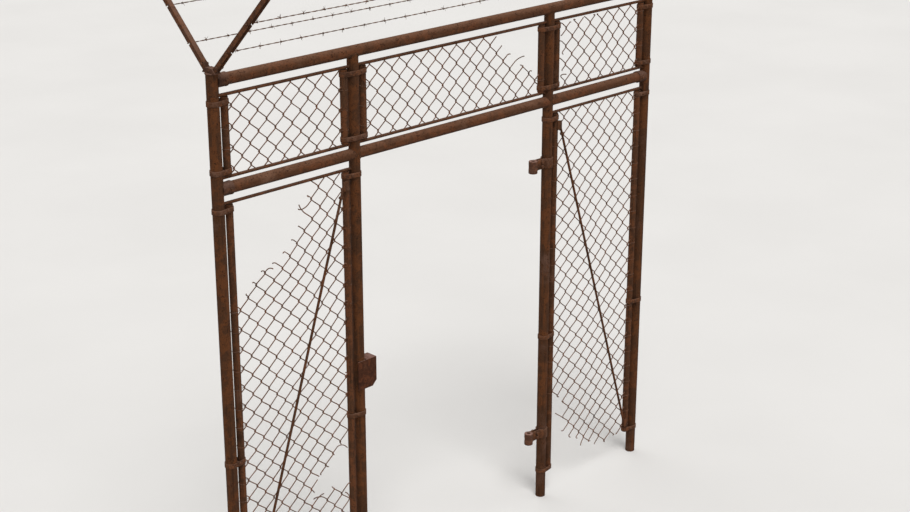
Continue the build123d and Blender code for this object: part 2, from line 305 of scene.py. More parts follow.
    def add_runs(self, tree: Tree, place: Socket,
                 colour: Socket) -> Socket:
        """Draws the runs that rain leaves down an upright piece, some fresh and some dark.

        Args:
            tree: Node tree of the material.
            place: Object coordinates.
            colour: Colour under the runs.

        Returns:
            The colour with its runs.
        """
        drawn = add_node(tree, "ShaderNodeMapping", {
            "Vector": place, "Scale": (1.0, 1.0, 1.0 / self.run_stretch)}).outputs["Vector"]
        run = add_node(tree, "ShaderNodeTexNoise", {
            "Vector": drawn, "Scale": per_metre(self.run_mm), "Detail": 4.0,
            "Roughness": 0.6}).outputs["Fac"]
        colour = self.add_patch(tree, run, self.fresh_run_edge, 0.8, colour, self.fresh)
        return self.add_patch(tree, run, self.dark_run_edge, 0.7, colour, self.deep)

    def add_painted_light_and_dust(self, tree: Tree, blotch: Socket,
                   colour: Socket) -> Socket:
        """Pales what faces the sky with dust and painted top light, and darkens what faces down with painted
        shade.

        Args:
            tree: Node tree of the material.
            blotch: Pattern that keeps the paling uneven.
            colour: Colour before the dust, the painted top light and the painted shade.

        Returns:
            The finished colour.
        """
        facing = add_node(tree, "ShaderNodeNewGeometry").outputs["Normal"]
        height = add_node(tree, "ShaderNodeSeparateXYZ", {"Vector": facing}).outputs["Z"]
        skyward = add_node(tree, "ShaderNodeMapRange", {
            "Value": height, "From Min": self.dust_and_top_light_edge[0], "From Max": self.dust_and_top_light_edge[1],
            "To Max": self.dust_and_top_light_gain}).outputs["Result"]
        mask = add_node(tree, "ShaderNodeMath", {
            0: skyward, 1: blotch}, operation="MULTIPLY").outputs["Value"]
        # Dust, with painted top light, on what faces up
        colour = self.add_patch(tree, mask, (0.0, 1.0), 1.0, colour, self.dust_and_top_light)
        # Painted shade on what faces down
        return self.add_patch(tree, height, self.underside_shade_edge, self.underside_shade_share, colour, self.underside_shade)


# Hot-finished pipe stood on end: brown rust with long runs and darker old patches
POST_PIPE = RustedSteel(
    "weathered_mill_pipe_upright", deep="#29180e", body="#472d1c", pale="#5f4437", fresh="#5e371d",
    dust_and_top_light="#6d5146", underside_shade="#281a10", blotch_mm=240.0, flake_mm=26.0, pit_mm=6.0, relief_mm=0.6, run_mm=15.0)
# The same pipe laid level: its top is paler, with dust and painted top light
RAIL_PIPE = RustedSteel(
    "weathered_mill_pipe_level", deep="#2f1c11", body="#513320", pale="#6b4c3a", fresh="#653c24",
    dust_and_top_light="#7a5743", underside_shade="#2d1c12", blotch_mm=170.0, flake_mm=24.0, pit_mm=6.0, relief_mm=0.6)
# Welded panel tube and bar: thinner rust, redder where the weld's heat took the scale off
PANEL_STEEL = RustedSteel(
    "rusted_welded_tube", deep="#2e1b10", body="#4b3120", pale="#664837", fresh="#643c24", dust_and_top_light="#6f5345",
    underside_shade="#2b1b12", blotch_mm=140.0, flake_mm=18.0, pit_mm=5.0, relief_mm=0.4, run_mm=11.0)
# Sand-cast fittings: coarse skin with rounded pits, greyer than the pipe
CASTING = RustedSteel(
    "rusted_sand_casting", deep="#2c1c14", body="#4c3327", pale="#6b5044", fresh="#5f3f2c", dust_and_top_light="#785c4f",
    underside_shade="#291b14", blotch_mm=60.0, flake_mm=10.0, pit_mm=4.5, relief_mm=0.7, fresh_share=0.5)
# Turned bar: close-grained rust, paler and pinker on top with dust and painted top light
TURNED_BAR = RustedSteel(
    "rusted_turned_bar", deep="#2e1f17", body="#52372a", pale="#7b6055", fresh="#684432", dust_and_top_light="#9c786b",
    underside_shade="#2b1d16", blotch_mm=45.0, flake_mm=9.0, pit_mm=4.0, relief_mm=0.5, fresh_share=0.5)
# Rolled strap and pressed channel: thin scale that lifts in small plates
STRAP = RustedSteel(
    "rusted_rolled_strap", deep="#2d1c13", body="#503424", pale="#6f5243", fresh="#6b4229", dust_and_top_light="#80604f",
    underside_shade="#291b12", blotch_mm=70.0, flake_mm=14.0, pit_mm=5.0, relief_mm=0.4)
# Folded plate: dark mill scale under the rust, paler only along its top, with dust and painted top light
FOLDED_PLATE = RustedSteel(
    "rusted_folded_plate", deep="#20110a", body="#412416", pale="#543424", fresh="#5a321e", dust_and_top_light="#8a6a60",
    underside_shade="#1f110a", blotch_mm=55.0, flake_mm=13.0, pit_mm=5.0, relief_mm=0.4)
# Drawn fence wire that has lost its zinc: light brown, with painted shade a little darker underneath
MESH_WIRE = RustedSteel(
    "rusted_fence_wire", deep="#3a2a20", body="#5f4536", pale="#82675a", fresh="#794e36", dust_and_top_light="#8a6f62",
    underside_shade="#38281e", blotch_mm=95.0, flake_mm=16.0, pit_mm=5.0, relief_mm=0.2, underside_shade_share=0.4)
# Barbed strand: the same wire, finer and browner
BARBED_STRAND = RustedSteel(
    "rusted_barbed_strand", deep="#35271e", body="#5c4436", pale="#82685a", fresh="#744c36", dust_and_top_light="#866c5e",
    underside_shade="#33251c", blotch_mm=60.0, flake_mm=10.0, pit_mm=4.0, relief_mm=0.15, underside_shade_share=0.4)
# Barbs: wire that keeps some of its grey zinc between patches of rust, drawn paler still as a painted glint
BARB_ZINC_AND_PAINTED_GLINT = RustedSteel(
    "half_rusted_zinc_barbs", deep="#43352c", body="#6f6058", pale="#8b807a", fresh="#75543f",
    dust_and_top_light="#92857e", underside_shade="#3f342c", blotch_mm=24.0, flake_mm=6.0, pit_mm=3.0, relief_mm=0.15,
    underside_shade_share=0.4)
# Weld beads: oxidised weld metal, rippled and darker than the pipe
WELD_METAL = RustedSteel(
    "oxidised_weld_metal", deep="#261811", body="#47301f", pale="#604434", fresh="#683d21", dust_and_top_light="#694e3e",
    underside_shade="#23160f", blotch_mm=30.0, flake_mm=6.0, pit_mm=3.5, relief_mm=0.3)
# Bolts and nuts: forged, with tight dark rust
BOLT_STEEL = RustedSteel(
    "rusted_forged_bolts", deep="#2a1c14", body="#4e3426", pale="#735444", fresh="#6a4128", dust_and_top_light="#785c4c",
    underside_shade="#271a13", blotch_mm=18.0, flake_mm=6.0, pit_mm=3.0, relief_mm=0.25)


@dataclass(frozen=True)
class PaleFloor:
    """Matt studio floor, hardly uneven, without any sheen."""

    light: str = "#e8e6e3"
    dark: str = "#e5e3e0"
    cloud_mm: float = 1400.0
    cloud_edge: tuple[float, float] = (0.35, 0.65)

    def material(self) -> Material:
        """Builds the floor's material.

        Returns:
            The finished material.
        """
        made = bpy.data.materials.new("matt_studio_floor")
        tree = bare_tree(made)
        place = add_node(tree, "ShaderNodeTexCoord").outputs["Object"]
        cloud = add_node(tree, "ShaderNodeTexNoise", {
            "Vector": place, "Scale": per_metre(self.cloud_mm), "Detail": 3.0}).outputs["Fac"]
        shade = add_node(tree, "ShaderNodeValToRGB", {"Fac": cloud}, {
            self.cloud_edge[0]: linear(self.dark), self.cloud_edge[1]: linear(self.light)})
        shader = add_node(tree, "ShaderNodeBsdfPrincipled", {
            "Base Color": shade.outputs["Color"], "Roughness": 1.0, "Specular IOR Level": 0.0})
        add_node(tree, "ShaderNodeOutputMaterial", {"Surface": shader.outputs["BSDF"]})
        return made


class Finishes:
    """Every material of the gate, made once."""

    def __init__(self) -> None:
        """Builds the materials."""
        self.post = POST_PIPE.material()
        self.rail = RAIL_PIPE.material()
        self.panel = PANEL_STEEL.material()
        self.casting = CASTING.material()
        self.turned = TURNED_BAR.material()
        self.strap = STRAP.material()
        self.plate = FOLDED_PLATE.material()
        self.mesh = MESH_WIRE.material()
        self.barbed = BARBED_STRAND.material()
        self.barb = BARB_ZINC_AND_PAINTED_GLINT.material()
        self.weld = WELD_METAL.material()
        self.bolt = BOLT_STEEL.material()


# Shapes


def spaced(start: float, end: float, steps: int) -> list[float]:
    """Evenly spaced values from start to end, with both of them."""
    return [start + (end - start) * i / steps for i in range(steps + 1)]


def full_turn(steps: int) -> list[float]:
    """Evenly spaced angles once round, without the last one, which is the first again."""
    return spaced(0.0, 2 * pi, steps)[:-1]


def aimed(origin: Vector, towards: Vector, side: Vector = ALONG) -> Matrix:
    """A placing matrix that points local Z in a direction.

    Args:
        origin: Where local zero goes.
        towards: Direction of local Z.
        side: Rough direction of local X.

    Returns:
        The matrix.
    """
    z = towards.normalized()
    if abs(z.dot(side.normalized())) > 0.99:
        side = UP
    y = z.cross(side).normalized()
    x = y.cross(z)
    turn = Matrix((x, y, z)).transposed().to_4x4()
    return Matrix.Translation(origin) @ turn


class Blank:
    """A shape being made, in millimetres."""

    def __init__(self) -> None:
        """Starts with an empty mesh."""
        self.mesh = bmesh.new()

    @classmethod
    def turned(cls, profile: Outline, steps: int = 24, closed: bool = False) -> "Blank":
        """Spins a profile about Z.

        Args:
            profile: Radius and height of each point.
            steps: Sides of the turned shape.
            closed: Whether the last point joins the first, as on a ring or a pipe.

        Returns:
            The shape, standing on its own Z axis.
        """
        blank = cls()
        verts = [blank.mesh.verts.new((r, 0.0, z)) for r, z in profile]
        ends = verts[1:] + verts[:1] if closed else verts[1:]
        edges = [blank.mesh.edges.new(pair) for pair in zip(verts, ends)]
        bmesh.ops.spin(blank.mesh, geom=verts + edges, cent=(0, 0, 0), axis=(0, 0, 1), dvec=(0, 0, 0),
                       angle=2 * pi, steps=steps, use_merge=True)
        return blank.merged().outward()

    @classmethod
    def tube(cls, outer: float, inner: float, heights: list[float], steps: int) -> "Blank":
        """Spins a pipe about Z.

        Args:
            outer: Its outside radius.
            inner: Its inside radius.
            heights: Heights of the rings of its outside, from end to end.
            steps: Sides of the pipe.

        Returns:
            The pipe, open at both ends.
        """
        profile = [(outer, z) for z in heights] + [(inner, heights[-1]), (inner, heights[0])]
        return cls.turned(profile, steps, True)

    @classmethod
    def prism(cls, outline: Outline, depth: float, hole: Outline | None = None) -> "Blank":
        """Extrudes an outline up Z.

        Args:
            outline: Corners in X and Y.
            depth: Height of the prism.
            hole: Corners of a hole through it.

        Returns:
            The shape, standing on the XY plane.
        """
        blank = cls()
        loops = []
        for corners in (outline, hole or ()):
            verts = [blank.mesh.verts.new((x, y, 0.0)) for x, y in corners]
            loops += [blank.mesh.edges.new(pair) for pair in zip(verts, verts[1:] + verts[:1])]
        if hole:
            faces = bmesh.ops.bridge_loops(blank.mesh, edges=loops)["faces"]
        else:
            faces = bmesh.ops.contextual_create(blank.mesh, geom=loops)["faces"]
        grown = bmesh.ops.extrude_face_region(blank.mesh, geom=faces, use_keep_orig=True)["geom"]
        top = [part for part in grown if isinstance(part, bmesh.types.BMVert)]
        bmesh.ops.translate(blank.mesh, verts=top, vec=(0, 0, depth))
        return blank.outward()

    @classmethod
    def block(cls, low: Vector, high: Vector) -> "Blank":
        """A plate or block between two corners.

        Args:
            low: Its lowest corner.
            high: Its highest corner.

        Returns:
            The block.
        """
        blank = cls()
        place = Matrix.Translation((low + high) / 2) @ Matrix.Diagonal((*(high - low), 1.0))
        bmesh.ops.create_cube(blank.mesh, size=1.0, matrix=place)
        return blank

    @classmethod
    def wires(cls, paths: list[Path], radius: float, roundness: int = 1, closed: bool = False,
              swell: list[list[float]] | None = None) -> "Blank":
        """Draws round wires along paths.

        Args:
            paths: Points of each wire's middle line.
            radius: Radius of the wire.
            roundness: Half the sides that the wire has beyond four.
            closed: Whether each wire joins its own start.
            swell: Radius of each point as a share of the wire's radius.

        Returns:
            All the wires as one shape.
        """
        curve = bpy.data.curves.new("drawn_wire", "CURVE")
        curve.dimensions = "3D"
        curve.bevel_depth = radius
        curve.bevel_resolution = roundness
        curve.use_fill_caps = not closed
        for number, path in enumerate(paths):
            spline = curve.splines.new("POLY")
            spline.points.add(len(path) - 1)
            spline.points.foreach_set("co", [c for point in path for c in (*point, 1.0)])
            if swell:
                spline.points.foreach_set("radius", swell[number])
            spline.use_cyclic_u = closed
        holder = bpy.data.objects.new("drawn_wire", curve)
        drawn = bpy.data.meshes.new_from_object(holder)
        blank = cls()
        blank.mesh.from_mesh(drawn)
        bpy.data.objects.remove(holder)
        bpy.data.curves.remove(curve)
        bpy.data.meshes.remove(drawn)
        return blank.merged()

    def merged(self) -> "Blank":
        """Joins points that lie on one another, such as a pole's or a cap's."""
        bmesh.ops.remove_doubles(self.mesh, verts=self.mesh.verts[:], dist=0.001)
        return self

    def outward(self) -> "Blank":
        """Turns every face outwards."""
        bmesh.ops.recalc_face_normals(self.mesh, faces=self.mesh.faces[:])
        return self

    def softened(self, width: float, segments: int = 2, angle: float = 40.0) -> "Blank":
        """Rounds the sharp edges.

        Args:
            width: Width of the rounding.
            segments: Faces across it.
            angle: Smallest angle, in degrees, that counts as an edge.

        Returns:
            The same shape.
        """
        sharp = [edge for edge in self.mesh.edges
                 if edge.is_manifold and edge.calc_face_angle() > radians(angle)]
        bmesh.ops.bevel(self.mesh, geom=sharp, offset=width, offset_type="OFFSET", affect="EDGES",
                        segments=segments, profile=0.5, material=-1, clamp_overlap=True)
        return self

    def placed(self, place: Matrix) -> "Blank":
        """Moves the whole shape, and keeps its faces outwards where the matrix mirrors it.

        Args:
            place: The placing matrix.

        Returns:
            The same shape.
        """
        self.mesh.transform(place)
        if place.determinant() < 0:
            bmesh.ops.reverse_faces(self.mesh, faces=self.mesh.faces[:])
        return self

    def moved(self, x: float, y: float, z: float) -> "Blank":
        """Moves the whole shape without turning it."""
        return self.placed(Matrix.Translation((x, y, z)))

    def take(self, *others: "Blank") -> "Blank":
        """Takes in other finished shapes.

        Args:
            *others: The shapes, which are used up.

        Returns:
            The shape with the others in it.
        """
        for other in others:
            joined = bpy.data.meshes.new("joined")
            other.mesh.to_mesh(joined)
            other.mesh.free()
            self.mesh.from_mesh(joined)
            bpy.data.meshes.remove(joined)
        return self

    def finished(self, name: str, finish: Material) -> bpy.types.Object:
        """Turns the shape, which is used up, into an object of the scene.

        Args:
            name: Name of the object.
            finish: Its material.

        Returns:
            The object.
        """
        data = bpy.data.meshes.new(name)
        self.mesh.to_mesh(data)
        self.mesh.free()
        data.materials.append(finish)
        made = bpy.data.objects.new(name, data)
        bpy.context.scene.collection.objects.link(made)
        return made

    def fitted(self, name: str, finish: Material, slot: Slot, *nodes: str,
               crease: float = 38.0) -> None:
        """Scales the shape to metres and fixes it to the gate as a finished piece.

        Args:
            name: Name of the piece.
            finish: Its material.
            slot: The record's slot that the material stands for. Not used.
            *nodes: CAD nodes that the piece stands for.
            crease: Angle, in degrees, past which an edge stays sharp.
        """
        self.mesh.transform(Matrix.Scale(1 / MM_PER_M, 4))
        piece = self.finished(name, finish)
        piece.data.shade_smooth()
        piece.data.set_sharp_from_angle(angle=radians(crease))
        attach(piece, "root")
        if nodes:
            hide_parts(*nodes)
        LOG.info("%s: %d triangles", name, sum(len(face.vertices) - 2 for face in piece.data.polygons))


# Layout


def node_box(node: str) -> tuple[Vector, Vector]:
    """Lowest and highest corners of a CAD node, in millimetres."""
    low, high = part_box(node)
    return Vector(low) * MM_PER_M, Vector(high) * MM_PER_M


@dataclass
class Layout:
    """Where the gate's main lines run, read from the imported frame."""

    seat: float = 0.3  # gap between two pieces that are joined
    wall: float = 3.0  # of the posts and rails
    tube_gap: float = 13.0  # between a post and the side tube next to it
    bar_r: float = 7.0  # of the panels' cross bars
    post_x: dict[str, float] = field(default_factory=dict)

    def __post_init__(self) -> None:
        """Reads the posts, rails and panels."""
        for post in ("left_outer", "left_inner", "right_inner", "right_outer"):
            low, high = node_box(f"{post}_post")
            self.post_x[post] = (low.x + high.x) / 2
        low, high = node_box("left_outer_post")
        self.post_r = round((high.x - low.x) / 2, 2)
        self.outer_top = high.z
        low, high = node_box("top_rail")
        self.rail_r = self.post_r
        self.top_z = (low.z + high.z) / 2
        low, high = node_box("head_rail_middle")
        self.head_z = (low.z + high.z) / 2
        low, high = node_box("lower_left_frame")
        self.tube_r = round((high.y - low.y) / 2, 2)
        self.tube_foot = low.z
        self.lower_bar_z = high.z - self.bar_r
        low, high = node_box("upper_left_frame")
        self.low_bar_z = low.z + self.bar_r
        self.high_bar_z = high.z - self.bar_r
        self.tube_offset = self.post_r + self.tube_gap + self.tube_r
        self.mesh_edge = self.tube_offset + self.tube_r + self.seat
        self.bays = {
            "left": (self.post_x["left_outer"], self.post_x["left_inner"]),
            "middle": (self.post_x["left_inner"], self.post_x["right_inner"]),
            "right": (self.post_x["right_inner"], self.post_x["right_outer"]),
        }

    def on_pipe(self, across: float, gap: float = 0.0) -> float:
        """How far the surface of a post or rail stands from its axis, a way across from it."""
        return sqrt(max(0.0, (self.post_r + gap) ** 2 - across * across))


@dataclass
class Assembly:
    """A part of the gate, laid out on its main lines and dressed in its materials."""

    layout: Layout
    finishes: Finishes
# Fasteners


class Head(Enum):
    """Shapes of bolt head."""

    HEX = "hex"
    DOMED = "domed"


@dataclass(frozen=True)
class Bolt:
    """A bolt with its washer, nut and the thread that stands out of the nut."""

    thread_d: float = 8.0
    across_flats: float = 13.0
    head_height: float = 5.3
    nut_height: float = 6.5
    washer_d: float = 16.0
    washer_height: float = 1.6
    thread_out: float = 6.0
    thread_pitch: float = 2.0
    thread_depth: float = 0.6
    thread_sides: int = 12
    washer_sides: int = 18
    edge: float = 0.7
    dome: tuple[tuple[float, float], ...] = ((8.0, 0.0), (6.8, -2.0), (4.0, -3.9), (0.0, -4.4))
    head: Head = Head.HEX

    def hexagon(self, height: float) -> Blank:
        """A hexagon with the bolt's own flats.

        Args:
            height: Its height.

        Returns:
            The hexagon, standing on the XY plane.
        """
        blank = Blank()
        radius = self.across_flats / 2 / cos(pi / 6)
        bmesh.ops.create_cone(blank.mesh, cap_ends=True, segments=6, radius1=radius, radius2=radius,
                              depth=height, matrix=Matrix.Translation((0, 0, height / 2)))
        return blank.softened(self.edge, 1)

    def shape(self, grip: float) -> Blank:
        """Builds the bolt along Z, with its head below zero and its nut above the grip.

        Args:
            grip: Thickness of what it clamps.

        Returns:
            The bolt as one shape.
        """
        thread_r, washer_r = self.thread_d / 2, self.washer_d / 2
        washer = [(thread_r, 0.0), (washer_r, 0.0), (washer_r, self.washer_height),
                  (thread_r, self.washer_height)]
        bolt = Blank.turned([(thread_r, 0.0), (thread_r, grip)], self.thread_sides)
        if self.head is Head.HEX:
            bolt.take(self.hexagon(self.head_height).moved(0, 0, -self.head_height - self.washer_height),
                      Blank.turned(washer, self.washer_sides, True).moved(0, 0, -self.washer_height))
        else:
            bolt.take(Blank.turned(list(self.dome), self.washer_sides))
        bolt.take(Blank.turned(washer, self.washer_sides, True).moved(0, 0, grip),
                  self.hexagon(self.nut_height).moved(0, 0, grip + self.washer_height))
        top = grip + self.washer_height + self.nut_height
        end = top + self.thread_out
        thread = [(thread_r, top)]
        while thread[-1][1] < end - self.thread_pitch:
            height = thread[-1][1]
            thread += [(thread_r - self.thread_depth, height + self.thread_pitch / 2),
                       (thread_r, height + self.thread_pitch)]
        thread += [(thread_r - 1.5 * self.thread_depth, end), (0.0, end)]
        return bolt.take(Blank.turned(thread, self.thread_sides))


def bead(paths: list[Path], radius: float, closed: bool, seed: str) -> Blank:
    """Lays a rippled weld bead along each path.

    Args:
        paths: Points of each seam.
        radius: Radius of the bead.
        closed: Whether each seam runs all the way round.
        seed: Seeds the unevenness.

    Returns:
        The beads as one shape.
    """
    dice = random.Random(seed)
    swell = [[dice.uniform(0.72, 1.12) for _ in path] for path in paths]
    return Blank.wires(paths, radius, 1, closed, swell)


# Posts and rails


@dataclass
class Posts(Assembly):
    """Four lengths of fence pipe. The inner two are coped to fit under the top rail."""

    sides: int = 48
    ring_spacing: float = 90.0
    eaten_height: float = 260.0  # how far up rust has eaten the foot
    eaten_spacing: float = 7.0
    eaten_depth: float = 0.9  # deepest bite
    eaten_lump: float = 22.0  # size of the bites
    eaten_noise: tuple[float, float, int] = (0.9, 2.0, 4)  # fall-off, spacing and number of octaves

    def heights(self, top: float) -> list[float]:
        """Heights of a post's rings, close together where rust has eaten the foot.

        Args:
            top: Height of the post.

        Returns:
            The heights, from the ground up.
        """
        low = [i * self.eaten_spacing for i in range(int(self.eaten_height / self.eaten_spacing) + 1)]
        return low + spaced(low[-1], top, ceil((top - low[-1]) / self.ring_spacing))[1:]

    def eat_foot(self, post: Blank, x: float) -> None:
        """Lets rust eat into the lowest part of a post.

        Args:
            post: The post.
            x: Its axis.
        """
        for vert in post.mesh.verts:
            off_axis = Vector((vert.co.x - x, vert.co.y, 0.0))
            if vert.co.z < self.eaten_height and off_axis.length > self.layout.post_r - TOUCH:
                share = 1 - vert.co.z / self.eaten_height
                bite = 0.5 + 0.5 * noise.fractal(vert.co / self.eaten_lump, *self.eaten_noise)
                vert.co -= off_axis.normalized() * self.eaten_depth * share * max(0.0, bite)

    def cope_top(self, post: Blank) -> None:
        """Cuts a post's top to the underside of the top rail.

        Args:
            post: The post.
        """
        layout = self.layout
        for vert in post.mesh.verts:
            if vert.co.z > layout.top_z - TOUCH:
                vert.co.z = layout.top_z - layout.on_pipe(vert.co.y, layout.seat)

    def build(self) -> None:
        """Makes the four posts."""
        layout = self.layout
        for name, x in layout.post_x.items():
            outer = "outer" in name
            heights = self.heights(layout.outer_top if outer else layout.top_z)
            post = Blank.tube(layout.post_r, layout.post_r - layout.wall, heights, self.sides).moved(x, 0, 0)
            self.eat_foot(post, x)
            if not outer:
                self.cope_top(post)
            post.fitted(f"{name}_post_pipe", self.finishes.post, Slot.PIPE, f"{name}_post")


@dataclass
class Rails(Assembly):
    """The top rail in one length and the head rail in three, coped to the inner posts."""

    sides: int = 48
    ring_spacing: float = 90.0
    seam_steps: int = 44
    seam_up: tuple[float, float] = (0.4, 0.9)  # how far a bead's middle line stands off the two pipes
    bead_r: float = 2.1

    def length_of_pipe(self, start: float, end: float, z: float, posts: tuple[float, ...] = ()) -> Blank:
        """One length of rail.

        Args:
            start: X of its left end.
            end: X of its right end.
            z: Height of its axis.
            posts: Axes of the posts to which an end is coped.

        Returns:
            The pipe.
        """
        layout = self.layout
        rings = spaced(0.0, end - start, ceil((end - start) / self.ring_spacing))
        pipe = Blank.tube(layout.rail_r, layout.rail_r - layout.wall, rings, self.sides)
        pipe.placed(aimed(Vector((start, 0, z)), ALONG))
        for post in posts:
            side = 1 if post < (start + end) / 2 else -1
            for vert in pipe.mesh.verts:
                if abs(vert.co.x - post) < TOUCH:
                    vert.co.x = post + side * layout.on_pipe(vert.co.y, layout.seat)
        return pipe

    def seams(self, posts: tuple[float, ...]) -> Blank:
        """Weld beads round each saddle joint of rails and inner posts.

        Args:
            posts: Axes of the inner posts.

        Returns:
            The beads as one shape.
        """
        layout = self.layout
        radius = layout.rail_r + self.seam_up[0]
        around = [(radius * cos(turn), radius * sin(turn)) for turn in full_turn(self.seam_steps)]
        paths = []
        for x in posts:
            for side in (-1, 1):
                paths.append([Vector((x + side * layout.on_pipe(y, self.seam_up[1]), y, layout.head_z + up))
                              for up, y in around])
            paths.append([Vector((x + out, y, layout.top_z - layout.on_pipe(y, self.seam_up[1])))
                          for out, y in around])
        return bead(paths, self.bead_r, True, "rail seams")

    def build(self) -> None:
        """Makes the rails and the weld beads where they meet the inner posts."""
        layout, finish = self.layout, self.finishes.rail
        inner_posts = (layout.post_x["left_inner"], layout.post_x["right_inner"])
        low, high = node_box("top_rail")
        top_rail = self.length_of_pipe(low.x, high.x, layout.top_z)
        top_rail.fitted("top_rail_pipe", finish, Slot.PIPE, "top_rail")
        spans = {
            "left": (low.x, inner_posts[0], inner_posts[:1]),
            "middle": (*inner_posts, inner_posts),
            "right": (inner_posts[1], high.x, inner_posts[1:]),
        }
        for name, (start, end, posts) in spans.items():
            pipe = self.length_of_pipe(start, end, layout.head_z, posts)
            pipe.fitted(f"head_rail_{name}_pipe", finish, Slot.PIPE, f"head_rail_{name}")
        self.seams(inner_posts).fitted("rail_welds", self.finishes.weld, Slot.PIPE)


@dataclass
class RailCups(Assembly):
    """Cast cups that hold the rail ends against the outer posts."""

    wall: float = 3.0
    base: float = 8.0  # between the post and the rail's end
    length: float = 42.0
    saddle: tuple[float, ...] = (0.0, 0.25, 0.45, 0.6, 0.72, 0.82, 0.9, 0.96, 1.0)
    first_ring: float = 6.0
    # The rim's steps: how far out of the wall, and how far below the mouth
    rim: tuple[tuple[float, float], ...] = ((0.0, 11.0), (0.9, 8.0), (0.9, 2.0), (0.0, 0.0))
    lip: tuple[float, float] = (0.6, 1.5)  # width and depth of the chamfer
    sides: int = 40
    screw: Bolt = Bolt()
    screw_height: float = 7.0
    screw_sunk: float = 0.5  # how deep its head sits in the wall
    screw_back: float = 16.0  # behind the mouth

    def cup(self) -> Blank:
        """One cup along Z, with its saddle at the bottom.

        Returns:
            The cup, with its post's axis at zero.
        """
        layout = self.layout
        socket = layout.rail_r + layout.seat
        outer = socket + self.wall
        back, floor_z = layout.post_r / 2, layout.post_r + self.base
        mouth = layout.post_r + self.length
        profile = [(outer * share, back) for share in self.saddle] + [(outer, floor_z + self.first_ring)]
        profile += [(outer + out, mouth - below) for out, below in self.rim]
        profile += [(socket + self.lip[0], mouth), (socket, mouth - self.lip[1]), (socket, floor_z),
                    (0.0, floor_z)]
        cup = Blank.turned(profile, self.sides)
        for vert in cup.mesh.verts:
            if vert.co.z < back + TOUCH:
                vert.co.z = max(vert.co.z, layout.on_pipe(vert.co.y, layout.seat))
        return cup

    def build(self) -> None:
        """Makes the four cups with a set screw in each."""
        layout = self.layout
        proud = layout.rail_r + layout.seat + self.wall - self.screw_sunk
        cups, screws = Blank(), Blank()
        for x, side in ((layout.post_x["left_outer"], 1), (layout.post_x["right_outer"], -1)):
            for z in (layout.head_z, layout.top_z):
                cups.take(self.cup().placed(aimed(Vector((x, 0, z)), ALONG * side)))
                seat = Vector((x + side * (layout.post_r + self.length - self.screw_back), 0, z))
                screws.take(self.screw.hexagon(self.screw_height).placed(aimed(seat + FRONT * proud, FRONT)))
        cups.fitted("rail_end_cup_castings", self.finishes.casting, Slot.FITTINGS, "rail_end_cups")
        screws.fitted("rail_end_set_screws", self.finishes.bolt, Slot.FITTINGS)


# Panels


@dataclass
class PanelFrames(Assembly):
    """Side tubes and cross bars of the five panels, welded to each other and to the posts."""

    tube_wall: float = 2.0
    tube_sides: int = 32
    tube_rings: float = 120.0
    bar_sides: int = 20
    bar_rings: float = 90.0
    bead_r: float = 1.7
    tube_seam: tuple[float, float] = (11.0, 7.4)  # half widths, along and across the gate
    tube_seam_steps: int = 20
    seam_sunk: float = 1.6  # inside the bar's surface
    bar_seam_up: tuple[float, float] = (0.5, 0.8)  # off the bar, and off the post
    bar_seam_steps: int = 18

    def build(self) -> None:
        """Makes the five frames and their welds."""
        layout, finish = self.layout, self.finishes.panel
        seams: list[Path] = []
        for bay in ("left", "right"):
            panel = self.panel(bay, layout.tube_foot, (layout.lower_bar_z,), seams)
            panel.fitted(f"lower_{bay}_tubes", finish, Slot.PANEL, f"lower_{bay}_frame")
        for bay in layout.bays:
            foot = layout.low_bar_z + layout.bar_r + layout.seat
            panel = self.panel(bay, foot, (layout.low_bar_z, layout.high_bar_z), seams)
            panel.fitted(f"upper_{bay}_tubes", finish, Slot.PANEL, f"upper_{bay}_frame")
        bead(seams, self.bead_r, True, "panel seams").fitted("panel_welds", self.finishes.weld, Slot.PANEL)

    def panel(self, bay: str, foot: float, bars: tuple[float, ...], seams: list[Path]) -> Blank:
        """One panel's tubes and bars.

        Args:
            bay: Which bay it fills.
            foot: Height of the tubes' lower ends.
            bars: Heights of the cross bars, the last one over the tubes.
            seams: Takes the paths of the weld beads.

        Returns:
            The tubes and bars as one shape.
        """
        layout = self.layout
        left, right = layout.bays[bay]
        height = bars[-1] - layout.bar_r - layout.seat - foot
        rings = spaced(0.0, height, ceil(height / self.tube_rings))
        whole = Blank()
        along, across = self.tube_seam
        for x in (left + layout.tube_offset, right - layout.tube_offset):
            tube = Blank.tube(layout.tube_r, layout.tube_r - self.tube_wall, rings, self.tube_sides)
            whole.take(tube.moved(x, 0, foot))
            for z in bars:
                level = z + (layout.bar_r - self.seam_sunk) * (-1 if z == bars[-1] else 1)
                seams.append([Vector((x + along * cos(turn), across * sin(turn), level))
                              for turn in full_turn(self.tube_seam_steps)])
        start, end = left + layout.post_r + layout.seat, right - layout.post_r - layout.seat
        length = end - start
        rings = spaced(0.0, length, ceil(length / self.bar_rings))
        profile = [(0.0, 0.0), *((layout.bar_r, ring) for ring in rings), (0.0, length)]
        seam_r, seam_in = layout.bar_r + self.bar_seam_up[0], self.bar_seam_up[1]
        for z in bars:
            bar = Blank.turned(profile, self.bar_sides)
            whole.take(bar.placed(aimed(Vector((start, 0, z)), ALONG)))
            for x in (start + seam_in, end - seam_in):
                seams.append([Vector((x, seam_r * cos(turn), z + seam_r * sin(turn)))
                              for turn in full_turn(self.bar_seam_steps)])
        return whole


